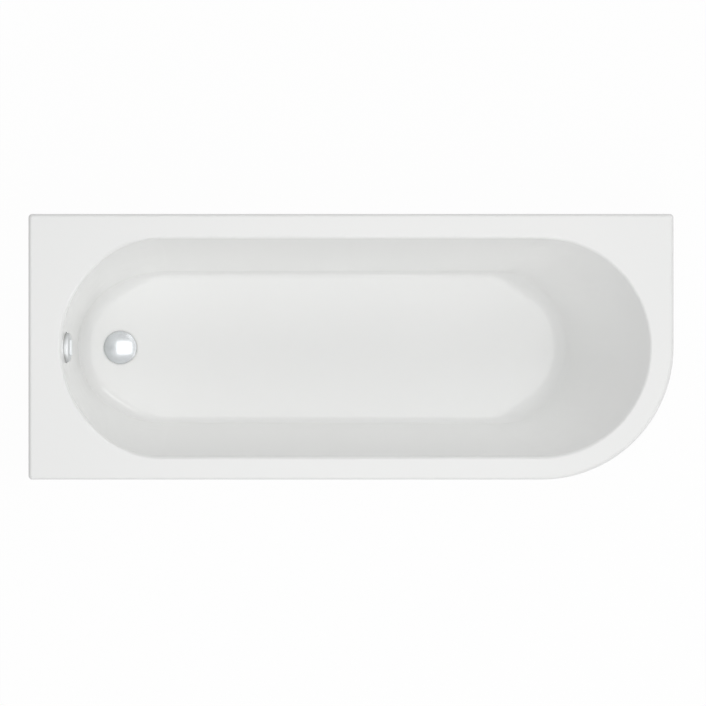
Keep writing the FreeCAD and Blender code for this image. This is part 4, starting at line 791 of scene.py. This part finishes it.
@dataclass
class Underframe:
    """Board, rails, socket, battens and the screw feet with cut threads."""

    workshop: Workshop
    feet: int = 5
    thread_pitch: float = 1.75 * MM
    thread_depth: float = 0.95 * MM
    thread_sides: int = 16
    # Half of the thread's foot as a share of the pitch, and half of its crest as a share of that.
    thread_flank: float = 0.42
    thread_crest: float = 1 / 6
    # Share of the rod's radius at which the thread starts, so that it grows out of the rod.
    thread_sink: float = 0.98
    rod_sides: int = 32
    point: float = 1.2 * MM

    def dress(self) -> None:
        """Coats the solid pieces and builds a threaded stud for each foot."""
        self.workshop.dress(BOARD, "baseboard")
        self.workshop.dress(TIMBER_X, "rim_batten_back", "rim_batten_front")
        self.workshop.dress(TIMBER_Y, "rim_batten_foot")
        self.workshop.dress(ZINC, "leg_rail_foot_end", "leg_rail_head_end", "centre_foot_socket")
        self.workshop.dress(BRIGHT_ZINC, "stud_nuts", "board_screws")
        for number in range(1, self.feet + 1):
            self.workshop.dress(BLACK_PLASTIC, f"foot_pad_{number}")
            self.build_stud(number)

    def build_stud(self, number: int) -> bpy.types.Object:
        """Cuts a helical thread on a rod.

        Args:
            number: Number of the foot.

        Returns:
            The threaded stud, in place of its plain solid.
        """
        node = f"foot_stud_{number}"
        low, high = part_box(node)
        axis = Vector(((low.x + high.x) / 2, (low.y + high.y) / 2, 0.0))
        crest = (high.x - low.x) / 2
        core = crest - self.thread_depth
        shape = bmesh.new()
        rod = {"cap_ends": True, "segments": self.rod_sides, "radius1": core, "radius2": core}
        place = Matrix.Translation(axis + Vector((0.0, 0.0, (low.z + high.z) / 2)))
        bmesh.ops.create_cone(shape, matrix=place, depth=high.z - low.z, **rod)
        caps = [face for face in shape.faces if len(face.verts) == self.rod_sides]
        ends = [edge for edge in shape.edges if any(face in caps for face in edge.link_faces)]
        bmesh.ops.bevel(
            shape, geom=ends, offset=self.point / 2, affect="EDGES", segments=1, profile=0.5, material=-1
        )
        turns = int((high.z - low.z - 2 * self.point) / self.thread_pitch)
        foot = low.z + self.point
        flank = self.thread_pitch * self.thread_flank
        profile = [
            (core * self.thread_sink, foot - flank),
            (crest, foot - flank * self.thread_crest),
            (crest, foot + flank * self.thread_crest),
            (core * self.thread_sink, foot + flank),
        ]
        spots = [axis + Vector((radius, 0.0, height + flank)) for radius, height in profile]
        corners = [shape.verts.new(spot) for spot in spots]
        section = shape.faces.new(corners)
        bmesh.ops.spin(
            shape,
            geom=[section, *section.edges, *section.verts],
            cent=axis,
            axis=(0.0, 0.0, 1.0),
            dvec=(0.0, 0.0, self.thread_pitch / self.thread_sides),
            angle=2 * math.pi * (turns - 1),
            steps=self.thread_sides * (turns - 1),
        )
        stud = self.workshop.finish_piece(shape, f"threaded_stud_{number}", BRIGHT_ZINC)
        split = stud.modifiers.new("sharp_edges", "EDGE_SPLIT")
        split.split_angle = self.workshop.sharp_angle
        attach(stud, f"foot_{number}")
        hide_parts(node)
        return stud


@dataclass
class PanelAndWall:
    """Wrap-round panel with its clips and stays, and the brackets that hook the rim to the wall."""

    workshop: Workshop

    def dress(self) -> None:
        """Coats the panel and the fixings."""
        self.workshop.dress(PANEL_ACRYLIC, "front_panel")
        self.workshop.dress(ZINC, "panel_clips", "panel_stays")
        self.workshop.dress(ZINC, "wall_bracket_foot_end", "wall_bracket_head_end")
        self.workshop.dress(BRIGHT_ZINC, "panel_screws")


@dataclass
class Studio:
    """Pale floor, a soft box overhead, three far soft lamps and a camera that looks straight down."""

    photo_width_px: float = 706.0
    # Metres to a pixel: the bath is 1.7 m long, and 645 pixels in the photograph.
    photo_scale: float = 1.7 / 645.0
    photo_centre_px: tuple[float, float] = (353.0, 353.0)
    bath_centre_px: tuple[float, float] = (351.0, 346.75)
    camera_height: float = 5.0
    floor_size: float = 30.0
    floor_color: str = "#FAFAFA"
    # Share of plain white in the floor as it is seen. The rest shows the shadow.
    floor_glow: float = 0.97
    sky_color: str = "#FFFFFF"
    sky_light: float = 0.38
    box_size: tuple[float, float] = (2.4, 1.9)
    box_place: tuple[float, float, float] = (0.06, -0.04, 3.57)
    box_power: float = 23.0
    lamp_size: tuple[float, float] = (6.0, 6.0)
    lamp_aim: tuple[float, float, float] = (0.0, 0.0, 0.5)
    front_place: tuple[float, float, float] = (0.6, -11.3, 11.3)
    front_power: float = 325.0
    rear_place: tuple[float, float, float] = (6.2, 9.5, 11.3)
    rear_power: float = 330.0
    side_place: tuple[float, float, float] = (10.7, -8.4, 9.0)
    side_power: float = 260.0

    def build(self) -> None:
        """Sets the floor, sky, lights and camera."""
        self.build_floor()
        self.build_sky()
        self.build_lights()
        self.build_camera()
        bpy.context.scene.view_settings.view_transform = "Standard"

    def seen_straight(self, tree: bpy.types.NodeTree) -> bpy.types.NodeSocket:
        """Gives 1 for rays that show the background: the camera's, and those in mirrors and glass.

        Args:
            tree: Node tree of the floor or the sky.

        Returns:
            Output socket with 0 or 1.
        """
        path = add_node(tree, "LightPath")
        links = {0: path.outputs["Is Camera Ray"], 1: path.outputs["Is Glossy Ray"]}
        either = add_node(tree, "Math", {"operation": "MAXIMUM"}, links)
        links = {0: either.outputs[0], 1: path.outputs["Is Transmission Ray"]}
        return add_node(tree, "Math", {"operation": "MAXIMUM"}, links).outputs[0]

    def build_floor(self) -> None:
        """Lays a pale floor that looks white and keeps a soft shadow."""
        shape = bmesh.new()
        bmesh.ops.create_grid(shape, x_segments=1, y_segments=1, size=self.floor_size / 2)
        mesh = bpy.data.meshes.new("studio_floor")
        shape.to_mesh(mesh)
        shape.free()
        floor = bpy.data.objects.new("studio_floor", mesh)
        bpy.context.scene.collection.objects.link(floor)
        material = bpy.data.materials.new("pale_floor")
        material.use_nodes = True
        tree = material.node_tree
        tree.nodes.clear()
        paint = add_node(tree, "BsdfDiffuse", {"Color": linear(self.floor_color)})
        glow = add_node(tree, "Emission", {"Color": linear(self.sky_color), "Strength": 1.0})
        seen = self.seen_straight(tree)
        share = add_node(tree, "Math", {"operation": "MULTIPLY", 1: self.floor_glow}, {0: seen})
        links = {0: share.outputs[0], 1: paint.outputs[0], 2: glow.outputs[0]}
        mix = add_node(tree, "MixShader", links=links)
        add_node(tree, "OutputMaterial", links={"Surface": mix.outputs[0]})
        mesh.materials.append(material)

    def build_sky(self) -> None:
        """Lights everything evenly, and shows white behind the object."""
        world = bpy.data.worlds.new("studio_sky")
        world.use_nodes = True
        tree = world.node_tree
        tree.nodes.clear()
        span = {"To Min": self.sky_light, "To Max": 1.0}
        level = add_node(tree, "MapRange", span, {"Value": self.seen_straight(tree)})
        links = {"Strength": level.outputs["Result"]}
        sky = add_node(tree, "Background", {"Color": linear(self.sky_color)}, links)
        add_node(tree, "OutputWorld", links={"Surface": sky.outputs[0]})
        bpy.context.scene.world = world

    def build_light(
        self, name: str, place: Sequence[float], aim: Sequence[float], size: Sequence[float], power: float
    ) -> None:
        """Hangs a rectangular lamp.

        Args:
            name: Name of the lamp.
            place: Where it hangs.
            aim: Point that it faces.
            size: Its width and height.
            power: Its power in watts.
        """
        lamp = bpy.data.lights.new(name, "AREA")
        lamp.shape = "RECTANGLE"
        lamp.size, lamp.size_y = size
        lamp.energy = power
        holder = bpy.data.objects.new(name, lamp)
        holder.location = place
        holder.rotation_euler = (Vector(place) - Vector(aim)).to_track_quat("Z", "Y").to_euler()
        bpy.context.scene.collection.objects.link(holder)

    def build_lights(self) -> None:
        """Hangs the soft box and the three far lamps."""
        below = (*self.box_place[:2], 0.0)
        self.build_light("soft_box", self.box_place, below, self.box_size, self.box_power)
        for name, place, power in (
            ("front_lamp", self.front_place, self.front_power),
            ("rear_lamp", self.rear_place, self.rear_power),
            ("side_lamp", self.side_place, self.side_power),
        ):
            self.build_light(name, place, self.lamp_aim, self.lamp_size, power)

    def build_camera(self) -> None:
        """Sets a camera with no perspective above the bath, as the photograph frames it."""
        lens = bpy.data.cameras.new("top_camera")
        lens.type = "ORTHO"
        lens.ortho_scale = self.photo_width_px * self.photo_scale
        camera = bpy.data.objects.new("top_camera", lens)
        right = (self.photo_centre_px[0] - self.bath_centre_px[0]) * self.photo_scale
        down = (self.photo_centre_px[1] - self.bath_centre_px[1]) * self.photo_scale
        camera.location = (right, -down, self.camera_height)
        bpy.context.scene.collection.objects.link(camera)
        bpy.context.scene.camera = camera


def main() -> None:
    """Dresses every sub-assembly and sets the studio."""
    logging.basicConfig(level=logging.INFO, format="%(name)s: %(message)s")
    workshop = Workshop()
    Studio().build()
    OverflowHose(workshop).build()
    for assembly in (BathShell, PopUpWaste, Trap, OverflowDial, Underframe, PanelAndWall):
        assembly(workshop).dress()


if __name__ == "__main__":
    main()
